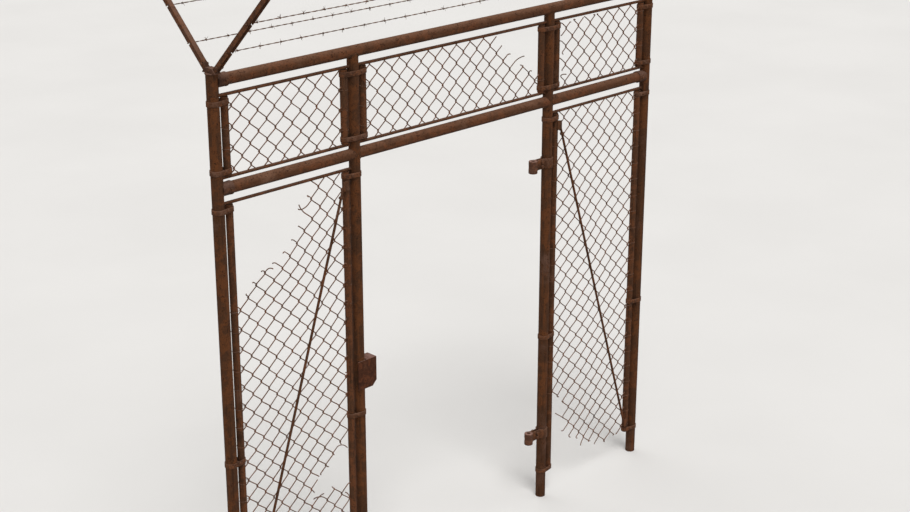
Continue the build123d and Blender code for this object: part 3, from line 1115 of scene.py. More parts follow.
@dataclass
class TrussRods(Assembly):
    """A diagonal rod in front of each lower panel, with a welded tab at both ends."""

    rod_r: float = 6.0
    forward: float = 13.0  # of the posts' axes
    tab_height: float = 44.0
    tab_thickness: float = 5.0
    tab_past_tube: float = 2.0  # from the side tube to the rod's end
    thread_length: float = 90.0
    thread_pitch: float = 3.2
    nut: Bolt = Bolt(across_flats=19.0, nut_height=10.0)
    nut_up: float = 34.0  # along the thread
    ring_spacing: float = 110.0
    sides: int = 16
    bead_r: float = 1.9
    bead_depth: tuple[float, float] = (4.2, 4.4)  # behind the tab's front
    bead_from: float = 2.0  # inwards of the tube's axis
    bead_step: float = 3.4

    def __post_init__(self) -> None:
        """Works out how far the tabs reach inwards from a tube's axis, and where their front is."""
        self.tab_reach = self.layout.tube_r + self.tab_past_tube + 2 * self.rod_r
        self.tab_front = -self.layout.tube_r - self.layout.seat - self.tab_thickness

    def rod(self, length: float) -> Blank:
        """A round rod, threaded below its upper end and carrying a nut.

        Args:
            length: Its length.

        Returns:
            The rod, standing on its own Z axis.
        """
        thread_low = length - self.thread_length
        rings = spaced(0.0, thread_low, ceil(thread_low / self.ring_spacing))
        profile = [(0.0, 0.0), (self.rod_r - 0.6, 0.0), (self.rod_r, 1.2)]
        profile += [(self.rod_r, ring) for ring in rings[1:]]
        for i in range(int((self.thread_length - 4) / self.thread_pitch)):
            height = thread_low + self.thread_pitch * i
            profile += [(self.rod_r - 0.7, height + self.thread_pitch / 2),
                        (self.rod_r - 0.1, thread_low + self.thread_pitch * (i + 1))]
        profile += [(self.rod_r - 0.8, length), (0.0, length)]
        nut = self.nut.hexagon(self.nut.nut_height).moved(0, 0, thread_low + self.nut_up)
        return Blank.turned(profile, self.sides).take(nut)

    def tab(self, x: float, z: float, inward: int, seams: list[Path]) -> Blank:
        """A plate on the front of a side tube, welded on along three edges, which holds the rod's end.

        Args:
            x: Axis of the tube.
            z: Height of the plate's middle.
            inward: 1 where the panel lies to the right of the tube, otherwise -1.
            seams: Takes the paths of the weld beads.

        Returns:
            The plate.
        """
        half = self.tab_height / 2
        level_y, upright_y = (self.tab_front + depth for depth in self.bead_depth)
        for level in (z - half - 0.6, z + half + 0.6):
            seams.append([Vector((x + inward * (self.bead_from + self.bead_step * i), level_y, level))
                          for i in range(5)])
        seams.append([Vector((x - inward * 0.5, upright_y, z + self.tab_height * (i / 9 - 0.5)))
                      for i in range(10)])
        near, far = sorted((x, x + inward * self.tab_reach))
        plate = Blank.block(Vector((near, self.tab_front, z - half)),
                            Vector((far, self.tab_front + self.tab_thickness, z + half)))
        return plate.softened(1.4, 2)

    def build(self) -> None:
        """Makes both rods with their tabs."""
        layout = self.layout
        for bay, side in (("left", 1), ("right", -1)):
            low, high = node_box(f"lower_{bay}_truss_rod")
            low_z, high_z = low.z + self.tab_height / 2, high.z - self.tab_height / 2
            first = layout.post_x[f"{bay}_outer"] + side * layout.tube_offset
            last = layout.post_x[f"{bay}_inner"] - side * layout.tube_offset
            rod_in = side * (self.tab_reach - self.rod_r)
            start = Vector((first + rod_in, -self.forward, low_z))
            end = Vector((last - rod_in, -self.forward, high_z))
            rod = self.rod((end - start).length).placed(aimed(start, end - start, BACK))
            seams: list[Path] = []
            for x, z, inward in ((first, low_z, side), (last, high_z, -side)):
                rod.take(self.tab(x, z, inward, seams))
            rod.fitted(f"lower_{bay}_truss_rod_bar", self.finishes.panel, Slot.PANEL,
                       f"lower_{bay}_truss_rod")
            welds = bead(seams, self.bead_r, False, f"{bay} tabs")
            welds.fitted(f"lower_{bay}_rod_welds", self.finishes.weld, Slot.PANEL)


@dataclass
class Bands(Assembly):
    """Straps round each post and the tubes beside it, drawn tight by a bolt in each gap."""

    thickness: float = 3.0
    width: float = 22.0
    play: float = 0.2  # between a strap and its pipes
    arc_steps: int = 12
    arc_rest: float = 0.2  # angle left out between two arcs of a pipe
    lowest: float = 15.0
    middle: float = 900.0
    under_bar: float = 27.0  # the highest lower band, under its bar
    from_bar: float = 28.0  # the upper bands, from theirs
    bolt: Bolt = Bolt(head=Head.DOMED, thread_out=5.0)
    bolt_play: float = 0.4

    def arc(self, centre: float, radius: float, start: float, end: float) -> Outline:
        """Points of an arc, in X and Y.

        Args:
            centre: X of its centre, which lies on the line of the posts.
            radius: Its radius.
            start: Angle at which it starts.
            end: Angle at which it ends.

        Returns:
            The points.
        """
        return [(centre + radius * cos(turn), radius * sin(turn))
                for turn in spaced(start, end, self.arc_steps)]

    def loop(self, x: float, sides: tuple[int, ...], growth: float) -> Outline:
        """Outline of a strap pulled round a post and its tubes, in X and Y.

        Args:
            x: Post's axis.
            sides: Sides on which there is a tube, -1 or 1.
            growth: How far the outline stands off the pipes.

        Returns:
            Its corners, anticlockwise from the +X side.
        """
        layout = self.layout
        post_r, tube_r = layout.post_r + growth, layout.tube_r + growth
        touch = pi / 2 - asin((layout.post_r - layout.tube_r) / layout.tube_offset)
        rest = self.arc_rest
        if 1 in sides:
            points = self.arc(x + layout.tube_offset, tube_r, -touch, touch)
            points += self.arc(x, post_r, touch, pi - touch if -1 in sides else pi)
        else:
            points = self.arc(x, post_r, 0.0, pi - touch)
        if -1 in sides:
            points += self.arc(x - layout.tube_offset, tube_r, pi - touch, pi + touch)
            points += self.arc(x, post_r, pi + touch, 2 * pi - touch if 1 in sides else 2 * pi - rest)
        else:
            points += self.arc(x, post_r, pi + rest, 2 * pi - touch)
        return points

    def bolt_at(self, x: float, z: float) -> Blank:
        """A bolt through both sides of a strap, head to the front.

        Args:
            x: Where it sits along the gate.
            z: Its height.

        Returns:
            The bolt.
        """
        layout = self.layout
        share = (layout.post_r + layout.tube_gap / 2) / layout.tube_offset
        half = layout.post_r + (layout.tube_r - layout.post_r) * share + self.thickness + self.bolt_play
        return self.bolt.shape(2 * half).placed(aimed(Vector((x, -half, z)), BACK))

    def build(self) -> None:
        """Makes the bands of each post, and their bolts."""
        layout = self.layout
        lower = (layout.tube_foot + self.lowest, self.middle, layout.lower_bar_z - self.under_bar)
        upper = (layout.low_bar_z + self.from_bar, layout.high_bar_z - self.from_bar)
        bolts = Blank()
        for name, low_sides, high_sides in (
            ("left_outer", (1,), (1,)), ("left_inner", (-1,), (-1, 1)),
            ("right_inner", (1,), (-1, 1)), ("right_outer", (-1,), (-1,)),
        ):
            x = layout.post_x[name]
            straps = Blank()
            for z, sides in [(z, low_sides) for z in lower] + [(z, high_sides) for z in upper]:
                strap = Blank.prism(self.loop(x, sides, self.thickness + self.play), self.width,
                                    self.loop(x, sides, self.play))
                straps.take(strap.softened(0.7, 1, 60.0).moved(0, 0, z - self.width / 2))
                for side in sides:
                    bolts.take(self.bolt_at(x + side * (layout.post_r + layout.tube_gap / 2), z))
            straps.fitted(f"{name}_band_straps", self.finishes.strap, Slot.FITTINGS, f"{name}_bands",
                          crease=50.0)
        bolts.fitted("band_bolts", self.finishes.bolt, Slot.FITTINGS)


# Arms and barbed wire


@dataclass
class Arms(Assembly):
    """Caps on the outer posts, each with two pressed channel arms that lean out at 45 degrees."""

    size: float = 22.0  # width and height of the channel
    sheet: float = 3.0  # thickness of its walls
    length: float = 530.0
    flange_r: float = 29.0
    flange: float = 5.0
    spigot: float = 30.0  # how deep the cap reaches into the post
    block_width: float = 32.0
    block_sunk: float = 1.0  # into the flange
    shoulder: float = 3.0  # height of the block's upright sides
    flat: float = 42.0  # width of its level top
    slope: float = 27.0  # length of the slopes that carry the arms
    cap_sides: int = 40
    slot_width: float = 6.2
    spacings: tuple[float, ...] = (125.0, 310.0, 495.0)  # of the strands, along an arm
    bolt: Bolt = Bolt(thread_out=4.0, head=Head.DOMED)
    bolt_up: float = 22.0
    bolt_out: float = 2.0  # from the middle of the section, towards the open side
    bolt_play: float = 0.2

    def __post_init__(self) -> None:
        """Works out where the arms spring from."""
        self.step = self.slope / sqrt(2)
        self.half_base = self.flat / 2 + self.step
        self.base_z = self.layout.outer_top + self.layout.seat + self.flange
        self.root_y = (self.flat + self.step) / 2
        self.root_z = self.base_z + self.shoulder + self.step / 2

    def place(self, x: float, side: int) -> Matrix:
        """Stands local Z along an arm, with local Y down and out of it.

        Args:
            x: Axis of the post.
            side: 1 for a back arm and -1 for a front arm.

        Returns:
            The placing matrix.
        """
        root = Vector((x, side * self.root_y, self.root_z))
        lean = 1 / sqrt(2)
        axes = Matrix((ALONG, Vector((0, side * lean, -lean)), Vector((0, side * lean, lean))))
        return Matrix.Translation(root) @ axes.transposed().to_4x4()

    def on_arm(self, side: int, spacing: float) -> tuple[float, float]:
        """Y and Z of a strand that lies at a spacing along the arms of one side."""
        step = spacing / sqrt(2)
        return side * (self.root_y + step), self.root_z + step

    def channel(self) -> Blank:
        """A channel along Z whose web is on the -Y side, slotted for each strand.

        Returns:
            The channel.
        """
        half, inner, web = self.size / 2, self.size / 2 - self.sheet, self.sheet - self.size / 2
        section = [(-half, half), (-half, -half), (half, -half), (half, half),
                   (inner, half), (inner, web), (-inner, web), (-inner, half)]
        arm = Blank.prism(section, self.length).moved(0, 0, self.layout.seat)
        mesh = arm.mesh
        cuts = [(Vector((0, -self.slot_width / 2, 0)), BACK)]
        for spacing in self.spacings:
            cuts += [(Vector((0, 0, spacing + side * self.slot_width / 2)), UP) for side in (-1, 1)]
        for point, normal in cuts:
            bmesh.ops.bisect_plane(mesh, geom=mesh.verts[:] + mesh.edges[:] + mesh.faces[:], dist=0.0001,
                                   plane_co=point, plane_no=normal)
        gone = [face for face in mesh.faces if self.in_slot(face.calc_center_median())]
        bmesh.ops.delete(mesh, geom=gone, context="FACES")
        for spacing in self.spacings:
            for side in (-1, 1):
                rims = [edge for edge in mesh.edges if self.on_rim(edge, spacing, side)]
                bmesh.ops.bridge_loops(mesh, edges=rims)
        return arm.outward().softened(0.5, 1, 60.0)

    def on_rim(self, edge: bmesh.types.BMEdge, spacing: float, side: int) -> bool:
        """Whether an open edge runs round a slot on one face of one flange.

        Args:
            edge: The edge.
            spacing: Where the slot lies along the arm.
            side: Which flange, -1 or 1.

        Returns:
            True on that rim, and not on the edges that cross the flange's end.
        """
        start, end = (vert.co for vert in edge.verts)
        return (edge.is_boundary and side * start.x > 0 and abs(start.z - spacing) < self.slot_width
                and abs(start.x - end.x) < 0.01)

    def in_slot(self, point: Vector) -> bool:
        """Whether a point of a flange lies in one of the slots."""
        half = self.slot_width / 2
        return point.y > -half and any(abs(point.z - spacing) < half for spacing in self.spacings)

    def cap(self) -> Blank:
        """A post cap with its flange on the XY plane and its two slopes above it.

        Returns:
            The cap.
        """
        spigot_r = self.layout.post_r - self.layout.wall - self.layout.seat
        profile = [(0.0, -self.spigot), (spigot_r - 2, -self.spigot), (spigot_r, -self.spigot + 3),
                   (spigot_r, 0.0), (self.flange_r - 1.5, 0.0), (self.flange_r, 1.5),
                   (self.flange_r, self.flange - 2), (self.flange_r - 2, self.flange), (0.0, self.flange)]
        top = self.shoulder + self.step
        block = [(-self.half_base, 0.0), (self.half_base, 0.0), (self.half_base, self.shoulder),
                 (self.flat / 2, top), (-self.flat / 2, top), (-self.half_base, self.shoulder)]
        body = Blank.prism(block, self.block_width).softened(1.2, 2)
        stand = Matrix.Translation((-self.block_width / 2, 0, self.flange - self.block_sunk)) @ Matrix((
            (0, 0, 1, 0), (1, 0, 0, 0), (0, 1, 0, 0), (0, 0, 0, 1)))
        return Blank.turned(profile, self.cap_sides).take(body.placed(stand))

    def build(self) -> None:
        """Makes the caps, the arms and their bolts."""
        layout = self.layout
        bolt_place = aimed(Vector((-self.size / 2 - self.bolt_play, self.bolt_out, 0)), ALONG)
        caps, bolts = Blank(), Blank()
        for name in ("left", "right"):
            x = layout.post_x[f"{name}_outer"]
            caps.take(self.cap().moved(x, 0, layout.outer_top + layout.seat))
            for lean, side in (("back", 1), ("front", -1)):
                arm = self.channel().placed(self.place(x, side))
                arm.fitted(f"{name}_{lean}_arm_channel", self.finishes.strap, Slot.FITTINGS,
                           f"{name}_{lean}_arm", crease=50.0)
                up_arm = self.place(x, side) @ Matrix.Translation((0, 0, self.bolt_up))
                bolts.take(self.bolt.shape(self.size + 2 * self.bolt_play).placed(up_arm @ bolt_place))
        caps.fitted("arm_cap_castings", self.finishes.casting, Slot.FITTINGS, "arm_caps")
        bolts.fitted("arm_bolts", self.finishes.bolt, Slot.FITTINGS)


@dataclass
class BarbedWire:
    """Three strands in each pair of arms: two line wires twisted together, with barbs between."""

    arms: Arms
    finishes: Finishes
    line_r: float = 1.25
    lay: float = 76.0  # length of one twist
    points_in_lay: int = 6
    phase: float = 1.7  # turn between neighbouring strands
    tail: float = 10.0  # past the outer arms
    barb_r: float = 1.1
    barb_length: float = 14.5
    barb_apart: float = 1.4  # half the gap between its two wires
    barb_turn: float = 1.55 * pi  # how far round each of them is wrapped
    barb_wraps: int = 6
    barb_pitch: float = 0.45  # along the strand, from one turn to the next
    barb_splay: float = 1.3
    barb_slant: tuple[float, float] = (2.0, 5.0)  # least and most lean along the strand
    barb_cut: float = 0.35  # thickness of a cut end, as a share of the wire's
    barb_spacing: float = 112.0
    barb_stray: float = 7.0
    first_barb: tuple[float, float] = (35.0, 80.0)  # least and most, from the left post
    last_barb: float = 30.0  # least, from the right post

    def strand(self, y: float, z: float, phase: float) -> list[Path]:
        """Two line wires wound round each other.

        Args:
            y: Depth of the strand.
            z: Height of the strand.
            phase: Where the twist starts, in radians.

        Returns:
            Paths of the two wires.
        """
        layout = self.arms.layout
        reach = self.arms.size / 2 + self.tail
        start, end = layout.post_x["left_outer"] - reach, layout.post_x["right_outer"] + reach
        count = int((end - start) / self.lay * self.points_in_lay)
        paths = []
        for wire in (0.0, pi):
            path = []
            for along in spaced(0.0, end - start, count):
                turn = 2 * pi * along / self.lay + phase + wire
                path.append(Vector((start + along, y + self.line_r * cos(turn), z + self.line_r * sin(turn))))
            paths.append(path)
        return paths

    def barb(self, dice: random.Random) -> list[Path]:
        """Two short wires wrapped round a strand along X, with four points between them.

        Args:
            dice: Makes each barb a little different.

        Returns:
            Paths of the two wires about the origin.
        """

        def around(x: float, radius: float, turn: float) -> Vector:
            """A point beside the strand."""
            return Vector((x, radius * cos(turn), radius * sin(turn)))

        wrap_r = 2 * self.line_r + self.barb_r
        middle = (self.barb_wraps - 1) / 2
        paths = []
        for shift in (-self.barb_apart, self.barb_apart):
            turn = dice.uniform(0, 2 * pi)
            path = [around(shift - dice.uniform(*self.barb_slant), self.barb_length, turn - self.barb_splay)]
            for i in range(self.barb_wraps):
                wrapped = turn + self.barb_turn * i / (self.barb_wraps - 1)
                path.append(around(shift + self.barb_pitch * (i - middle), wrap_r, wrapped))
            last = turn + self.barb_turn + self.barb_splay
            path.append(around(shift + dice.uniform(*self.barb_slant), self.barb_length, last))
            paths.append(path)
        return paths

    def build(self) -> None:
        """Makes the strands of both sides."""
        layout = self.arms.layout
        left, right = layout.post_x["left_outer"], layout.post_x["right_outer"]
        for lean, side in (("front", -1), ("back", 1)):
            dice = random.Random(f"{lean} barbs")
            lines: list[Path] = []
            barbs: list[Path] = []
            for number, spacing in enumerate(self.arms.spacings):
                y, z = self.arms.on_arm(side, spacing)
                lines += self.strand(y, z, self.phase * number + side)
                x = left + dice.uniform(*self.first_barb)
                while x < right - self.last_barb:
                    centre = Vector((x, y, z))
                    barbs += [[centre + point for point in path] for path in self.barb(dice)]
                    x += self.barb_spacing + dice.uniform(-self.barb_stray, self.barb_stray)
            swell = [[self.barb_cut] + [1.0] * self.barb_wraps + [self.barb_cut] for _ in barbs]
            Blank.wires(lines, self.line_r, 1).fitted(
                f"{lean}_barbed_strands", self.finishes.barbed, Slot.BARBED, f"{lean}_barbed_wires",
                crease=80.0)
            Blank.wires(barbs, self.barb_r, 0, False, swell).fitted(
                f"{lean}_wire_barbs", self.finishes.barb, Slot.BARBED, crease=80.0)


# Hinge halves and latch keeper


@dataclass
class Hinges(Assembly):
    """Clamps left on the right inner post, each with a barrel for the missing leaf's pin."""

    heights: tuple[float, ...] = (366.0, 1820.0)
    reach: float = 98.0  # between the axes of post and barrel
    barrel_r: float = 22.0
    bore_r: float = 8.25
    barrel_height: float = 62.0
    barrel_drop: float = 6.0  # under its clamp's middle
    barrel_waist: tuple[tuple[float, float], ...] = ((0.0, 9.0), (0.6, 8.0))  # radius lost, and half height
    barrel_sides: int = 40
    chamfer: float = 1.5
    strap: float = 5.0  # thickness of a clamp
    strap_height: float = 50.0
    strap_steps: int = 36
    leaf_sunk: float = 1.5  # into the barrel
    play: float = 0.2
    arm_width: float = 22.0  # over a clamp's two leaves
    bolt: Bolt = Bolt(thread_d=10.0, across_flats=17.0, head_height=6.4, nut_height=8.0, washer_d=20.0,
                      thread_out=6.0)
    bolt_steps: tuple[float, ...] = (-11.0, 11.0)
    bolt_out: float = 21.0
    bead_r: float = 2.2
    bead_points: int = 16

    def clamp(self) -> Blank:
        """A strap folded round the post, with two leaves that run to the barrel at -X.

        Returns:
            The clamp about the post's axis.
        """
        inner = self.layout.post_r + self.play
        outer = inner + self.strap
        half = self.arm_width / 2
        leaf_end = -self.reach + self.barrel_r - self.leaf_sunk
        outer_turn, inner_turn = pi - asin(half / outer), pi - asin((half - self.strap) / inner)
        outline: Outline = [(leaf_end, half)]
        outline += [(outer * cos(turn), outer * sin(turn))
                    for turn in spaced(outer_turn, -outer_turn, self.strap_steps)]
        outline += [(leaf_end, -half), (leaf_end, self.strap - half)]
        outline += [(inner * cos(turn), inner * sin(turn))
                    for turn in spaced(-inner_turn, inner_turn, self.strap_steps)]
        outline += [(leaf_end, half - self.strap)]
        clamp = Blank.prism(outline[::-1], self.strap_height)
        return clamp.softened(1.0, 1, 55.0).moved(0, 0, -self.strap_height / 2)

    def barrel(self) -> Blank:
        """A turned barrel with a chamfered bore, standing on its middle.

        Returns:
            The barrel.
        """
        low, high, chamfer = -self.barrel_height / 2, self.barrel_height / 2, self.chamfer
        outer, bore = self.barrel_r, self.bore_r
        profile = [(outer - chamfer, low), (outer, low + chamfer)]
        profile += [(outer - depth, -half) for depth, half in self.barrel_waist]
        profile += [(outer - depth, half) for depth, half in self.barrel_waist[::-1]]
        profile += [(outer, high - chamfer), (outer - chamfer, high), (bore + chamfer, high),
                    (bore, high - chamfer), (bore, low + chamfer), (bore + chamfer, low)]
        return Blank.turned(profile, self.barrel_sides, True)

    def build(self) -> None:
        """Makes both hinge halves."""
        layout = self.layout
        x = layout.post_x["right_inner"]
        half_bolt = self.arm_width / 2 + self.bolt.washer_height + self.play
        turn = asin((self.arm_width / 2 + 1.0) / self.barrel_r)
        weld_x = x - self.reach + self.barrel_r * cos(turn) + 0.6
        weld_y = self.arm_width / 2 + 1.2
        clamps, barrels, bolts = Blank(), Blank(), Blank()
        seams: list[Path] = []
        for z in self.heights:
            clamps.take(self.clamp().moved(x, 0, z))
            barrels.take(self.barrel().moved(x - self.reach, 0, z - self.barrel_drop))
            for step in self.bolt_steps:
                seat = Vector((x - layout.post_r - self.bolt_out, -half_bolt, z + step))
                bolts.take(self.bolt.shape(2 * half_bolt).placed(aimed(seat, BACK)))
            for side in (-1, 1):
                shares = spaced(0.0, 1.0, self.bead_points - 1)
                seams.append([Vector((weld_x, side * weld_y, z + self.strap_height * (share - 0.5)))
                              for share in shares])
        clamps.fitted("hinge_clamp_straps", self.finishes.strap, Slot.HINGE, "hinge_clamps", crease=50.0)
        barrels.fitted("hinge_barrel_turnings", self.finishes.turned, Slot.HINGE, "hinge_barrels")
        bolts.fitted("hinge_bolts", self.finishes.bolt, Slot.HINGE)
        welds = bead(seams, self.bead_r, False, "hinge seams")
        welds.fitted("hinge_welds", self.finishes.weld, Slot.HINGE)


@dataclass
class LatchKeeper(Assembly):
    """A box of plate that straddles the left inner post, open below and towards the doorway."""

    height: float = 1090.0
    length: float = 140.0
    reach: float = 80.0  # from the post's axis into the doorway
    back: float = 30.0  # past the axis the other way
    side_gap: float = 0.6
    plate: float = 4.0  # thickness
    chamfer: float = 25.0  # corner cut off the lower end
    bead_r: float = 1.8
    bead_from: float = -22.0
    bead_step: float = 5.0
    bead_points: int = 9

    def build(self) -> None:
        """Makes the keeper and its welds."""
        layout = self.layout
        x = layout.post_x["left_inner"]
        low_z, high_z = self.height - self.length / 2, self.height + self.length / 2
        inner = layout.post_r + self.side_gap
        side_outline = [(-self.back, low_z), (self.reach - self.chamfer, low_z),
                        (self.reach, low_z + self.chamfer), (self.reach, high_z), (-self.back, high_z)]
        stood_up = Matrix(((1, 0, 0, x), (0, 0, -1, 0), (0, 1, 0, 0), (0, 0, 0, 1)))
        keeper = Blank()
        for y in (-inner, inner + self.plate):
            plate = Blank.prism(side_outline, self.plate).softened(1.0, 2)
            keeper.take(plate.placed(Matrix.Translation((0, y, 0)) @ stood_up))
        # The web and the top lie a little inside the sides, so that no two faces share a plane
        web_x, into_side = x + layout.post_r + layout.seat, inner + 0.5
        web = Blank.block(Vector((web_x, -into_side, low_z + 0.6)),
                          Vector((web_x + self.plate, into_side, high_z - 0.6)))
        top = Blank.block(Vector((web_x + 0.5, -into_side, high_z - self.plate)),
                          Vector((x + self.reach - 0.2, into_side, high_z - 0.1)))
        keeper.take(web.softened(0.6, 1), top.softened(0.8, 2))
        keeper.fitted("latch_keeper_plates", self.finishes.plate, Slot.HINGE, "latch_keeper", crease=50.0)
        across = [self.bead_from + self.bead_step * i for i in range(self.bead_points)]
        seams = [[Vector((x + off, side * (layout.on_pipe(off) + 1.2), level)) for off in across]
                 for side in (-1, 1) for level in (low_z - 1.0, high_z + 1.0)]
        welds = bead(seams, self.bead_r, False, "keeper seams")
        welds.fitted("latch_keeper_welds", self.finishes.weld, Slot.HINGE)


# Chain link


@dataclass
class Panel:
    """One sheet of chain link."""

    name: str
    bay: str
    outline: Outline
    bulge: float  # how far it may belly out of line
    torn: bool  # so that it hangs more loosely


@dataclass
class ChainLink(Assembly):
    """Woven wire in five panels. Each wire zigzags up the sheet and hooks into its neighbours."""

    wire_r: float = 2.5
    half_diamond: float = 44.0
    hook: float = 2.7  # how far a bend reaches past its crossing
    bend_heights: tuple[float, ...] = (-10.0, -5.5, -2.2, 0.0, 2.2, 5.5, 10.0)
    bend_r: float = 3.0
    weave: float = 5.5  # height over which a wire changes face
    shortest: float = 26.0  # bit of wire kept at a tear
    welded_in: float = 1.4  # how far a held end runs into the frame
    slack_reach: float = 140.0  # from the frame to where the sheet is fully slack
    slack_foot: float = 250.0  # how far under the side tubes the lower sheets count as held
    bar_margin: float = 7.0  # between a bar's axis and where slack starts
    wave: float = 330.0
    wave_start: tuple[float, float, float] = (7.1, 0.0, 3.3)
    pull: float = 150.0
    loose: tuple[float, float] = (2.0, 4.0)  # how far a whole and a torn sheet are pulled about
    long_share: float = 0.22  # share of the torn ends that are long
    long_end: tuple[float, float] = (24.0, 62.0)
    short_end: tuple[float, float] = (5.0, 17.0)
    end_points: tuple[int, int] = (3, 7)  # of a short and of a long end
    end_curl: tuple[float, float] = (0.6, 2.2)  # least and most, in radians
    tie_r: float = 1.1
    tie_back: float = 4.5  # how far short of the crossing a tie ends, in the loop below
    tie_hook: Outline = field(default_factory=lambda: [(-2.0, -5.6), (2.5, -3.4), (2.5, 3.4), (-2.0, 5.6)])
    tie_tilt: tuple[float, float] = (-2.0, 3.0)  # slopes of the two kinds
    tie_steps: int = 8
    seed: int = 1  # of the noise in the sheets

    def panels(self) -> list[Panel]:
        """The five sheets, with torn edges given as steps from a corner of the panel.

        Returns:
            The sheets.
        """
        layout = self.layout
        low_top = layout.lower_bar_z - layout.bar_r - layout.seat
        high_low = layout.low_bar_z + layout.bar_r + layout.seat
        high_top = layout.high_bar_z - layout.bar_r - layout.seat
        spans = {bay: (left + layout.mesh_edge, right - layout.mesh_edge)
                 for bay, (left, right) in layout.bays.items()}
        foot = layout.tube_foot
        left, right = spans["left"]
        left_top = ((0, -449), (45, -429), (126, -339), (203, -312), (303, -242), (387, -120), (411, 0))
        left_hole = ((-4, -1227), (-69, -1275), (-108, -1362), (-180, -1384), (-220, -1445), (-204, -1500),
                     (-130, -1512), (-84, -1478), (-20, -1437))
        left_foot = ((0, 75), (140, 60), (300, 42), (450, 50), (520, 90))
        lower_left = [*self.steps(left, foot, left_foot), (right, foot + 60),
                      *self.steps(right, low_top, left_hole)[::-1], (right, low_top),
                      *self.steps(left, low_top, left_top)[::-1]]
        upper_left = [(left, high_low), (right, high_low), (right, high_top), (left, high_top)]
        left, right = spans["right"]
        right_foot = ((0, 415), (94, 371), (101, 164), (158, 124), (276, 72), (396, -13), (545, 10))
        lower_right = [*self.steps(left, foot, right_foot), (right, foot + 15),
                       (right, low_top), (left, low_top)]
        right_gap = ((0, -20), (24, -45), (26, -290), (0, -318))
        upper_right = [(left, high_low), (right, high_low), (right, high_top),
                       *self.steps(left, high_top, right_gap)]
        left, right = spans["middle"]
        middle_top = ((0, -236), (-31, -230), (-106, -182), (-205, -124), (-278, -36), (-305, 0))
        upper_middle = [(left, high_low), (right, high_low), *self.steps(right, high_top, middle_top),
                        (left, high_top)]
        return [
            Panel("lower_left", "left", lower_left, 9.0, True),
            Panel("lower_right", "right", lower_right, 8.0, True),
            Panel("upper_left", "left", upper_left, 5.0, False),
            Panel("upper_middle", "middle", upper_middle, 6.0, True),
            Panel("upper_right", "right", upper_right, 5.0, True),
        ]

    @staticmethod
    def steps(x: float, z: float, moves: tuple[tuple[float, float], ...]) -> Outline:
        """Corners given as steps from one point."""
        return [(x + dx, z + dz) for dx, dz in moves]

    def zigzag(self, column: int, low: float, high: float) -> Path:
        """Middle line of one wire of the sheet, flat in the sheet apart from its weave.

        Args:
            column: Number of the half diamond that the wire fills.
            low: Height to start under.
            high: Height to end over.

        Returns:
            Its points, from the bottom up.
        """
        half = self.half_diamond
        furthest = sqrt(half ** 2 / 4 + self.bend_r ** 2) - self.bend_r
        spread = (half / 2 + self.hook) / furthest
        points = []
        for row in range(floor(low / half), ceil(high / half) + 1):
            on_left = (column + row) % 2 == 0
            side = -1 if on_left else 1
            x = half * (column if on_left else column + 1) + side * self.hook
            for step in self.bend_heights:
                inward = (sqrt(step ** 2 + self.bend_r ** 2) - self.bend_r) * spread
                turn = max(-1.0, min(1.0, step / self.weave))
                points.append(Vector((x - side * inward, side * self.wire_r * turn, half * row + step)))
        return points

    def inside(self, outline: Outline, point: Vector) -> bool:
        """Whether a point lies inside an outline drawn in X and Z.

        Args:
            outline: Its corners.
            point: The point.

        Returns:
            True inside it.
        """
        within = False
        for (x1, z1), (x2, z2) in zip(outline, outline[1:] + outline[:1]):
            if (z1 > point.z) != (z2 > point.z) and point.x < x1 + (point.z - z1) * (x2 - x1) / (z2 - z1):
                within = not within
        return within

    def cut(self, path: Path, outline: Outline) -> list[Path]:
        """Keeps the stretches of a wire that lie inside the outline.

        Args:
            path: The whole wire.
            outline: Corners of the sheet.

        Returns:
            Its stretches.
        """
        runs: list[Path] = []
        run: Path = []
        for before, point in zip(path, path[1:]):
            was_in, is_in = self.inside(outline, before), self.inside(outline, point)
            if was_in and not run:
                run = [before]
            if was_in != is_in:
                near, far = (before, point) if was_in else (point, before)
                for _ in range(12):
                    middle = (near + far) / 2
                    near, far = (middle, far) if self.inside(outline, middle) else (near, middle)
                run.append(near.copy())
            if is_in:
                run.append(point)
            elif run:
                runs.append(run)
                run = []
        if run:
            runs.append(run)
        return [kept for kept in runs
                if sum((after - point).length for point, after in zip(kept, kept[1:])) > self.shortest]

    def to_frame(self, panel: Panel, point: Vector, foot: float) -> tuple[float, float]:
        """How far a point of a sheet is from the frame round it.

        Args:
            panel: The sheet.
            point: The point.
            foot: Height that stands for a lower bar where the panel has none.

        Returns:
            Distances to the nearer upright edge and to the axis of the nearer bar.
        """
        layout = self.layout
        left, right = layout.bays[panel.bay]
        upper = panel.name.startswith("upper")
        low, high = (layout.low_bar_z, layout.high_bar_z) if upper else (foot, layout.lower_bar_z)
        return (min(point.x - left, right - point.x) - layout.mesh_edge, min(point.z - low, high - point.z))

    def held(self, panel: Panel, point: Vector) -> bool:
        """Whether a point lies on the frame's edge, where the wire is welded or tied.

        Args:
            panel: The sheet.
            point: The point.

        Returns:
            True on the edge. The lower sheets have no bar at their foot.
        """
        to_side, to_bar = self.to_frame(panel, point, -MM_PER_M)
        return min(to_side, to_bar - self.layout.bar_r - self.layout.seat) < TOUCH

    def slack(self, panel: Panel, point: Vector) -> float:
        """How free of the frame a point of the sheet is.

        Args:
            panel: The sheet.
            point: The point.

        Returns:
            0 at the frame and 1 far from it.
        """
        to_side, to_bar = self.to_frame(panel, point, self.layout.tube_foot - self.slack_foot)
        return max(0.0, min(1.0, min(to_side, to_bar - self.bar_margin) / self.slack_reach))

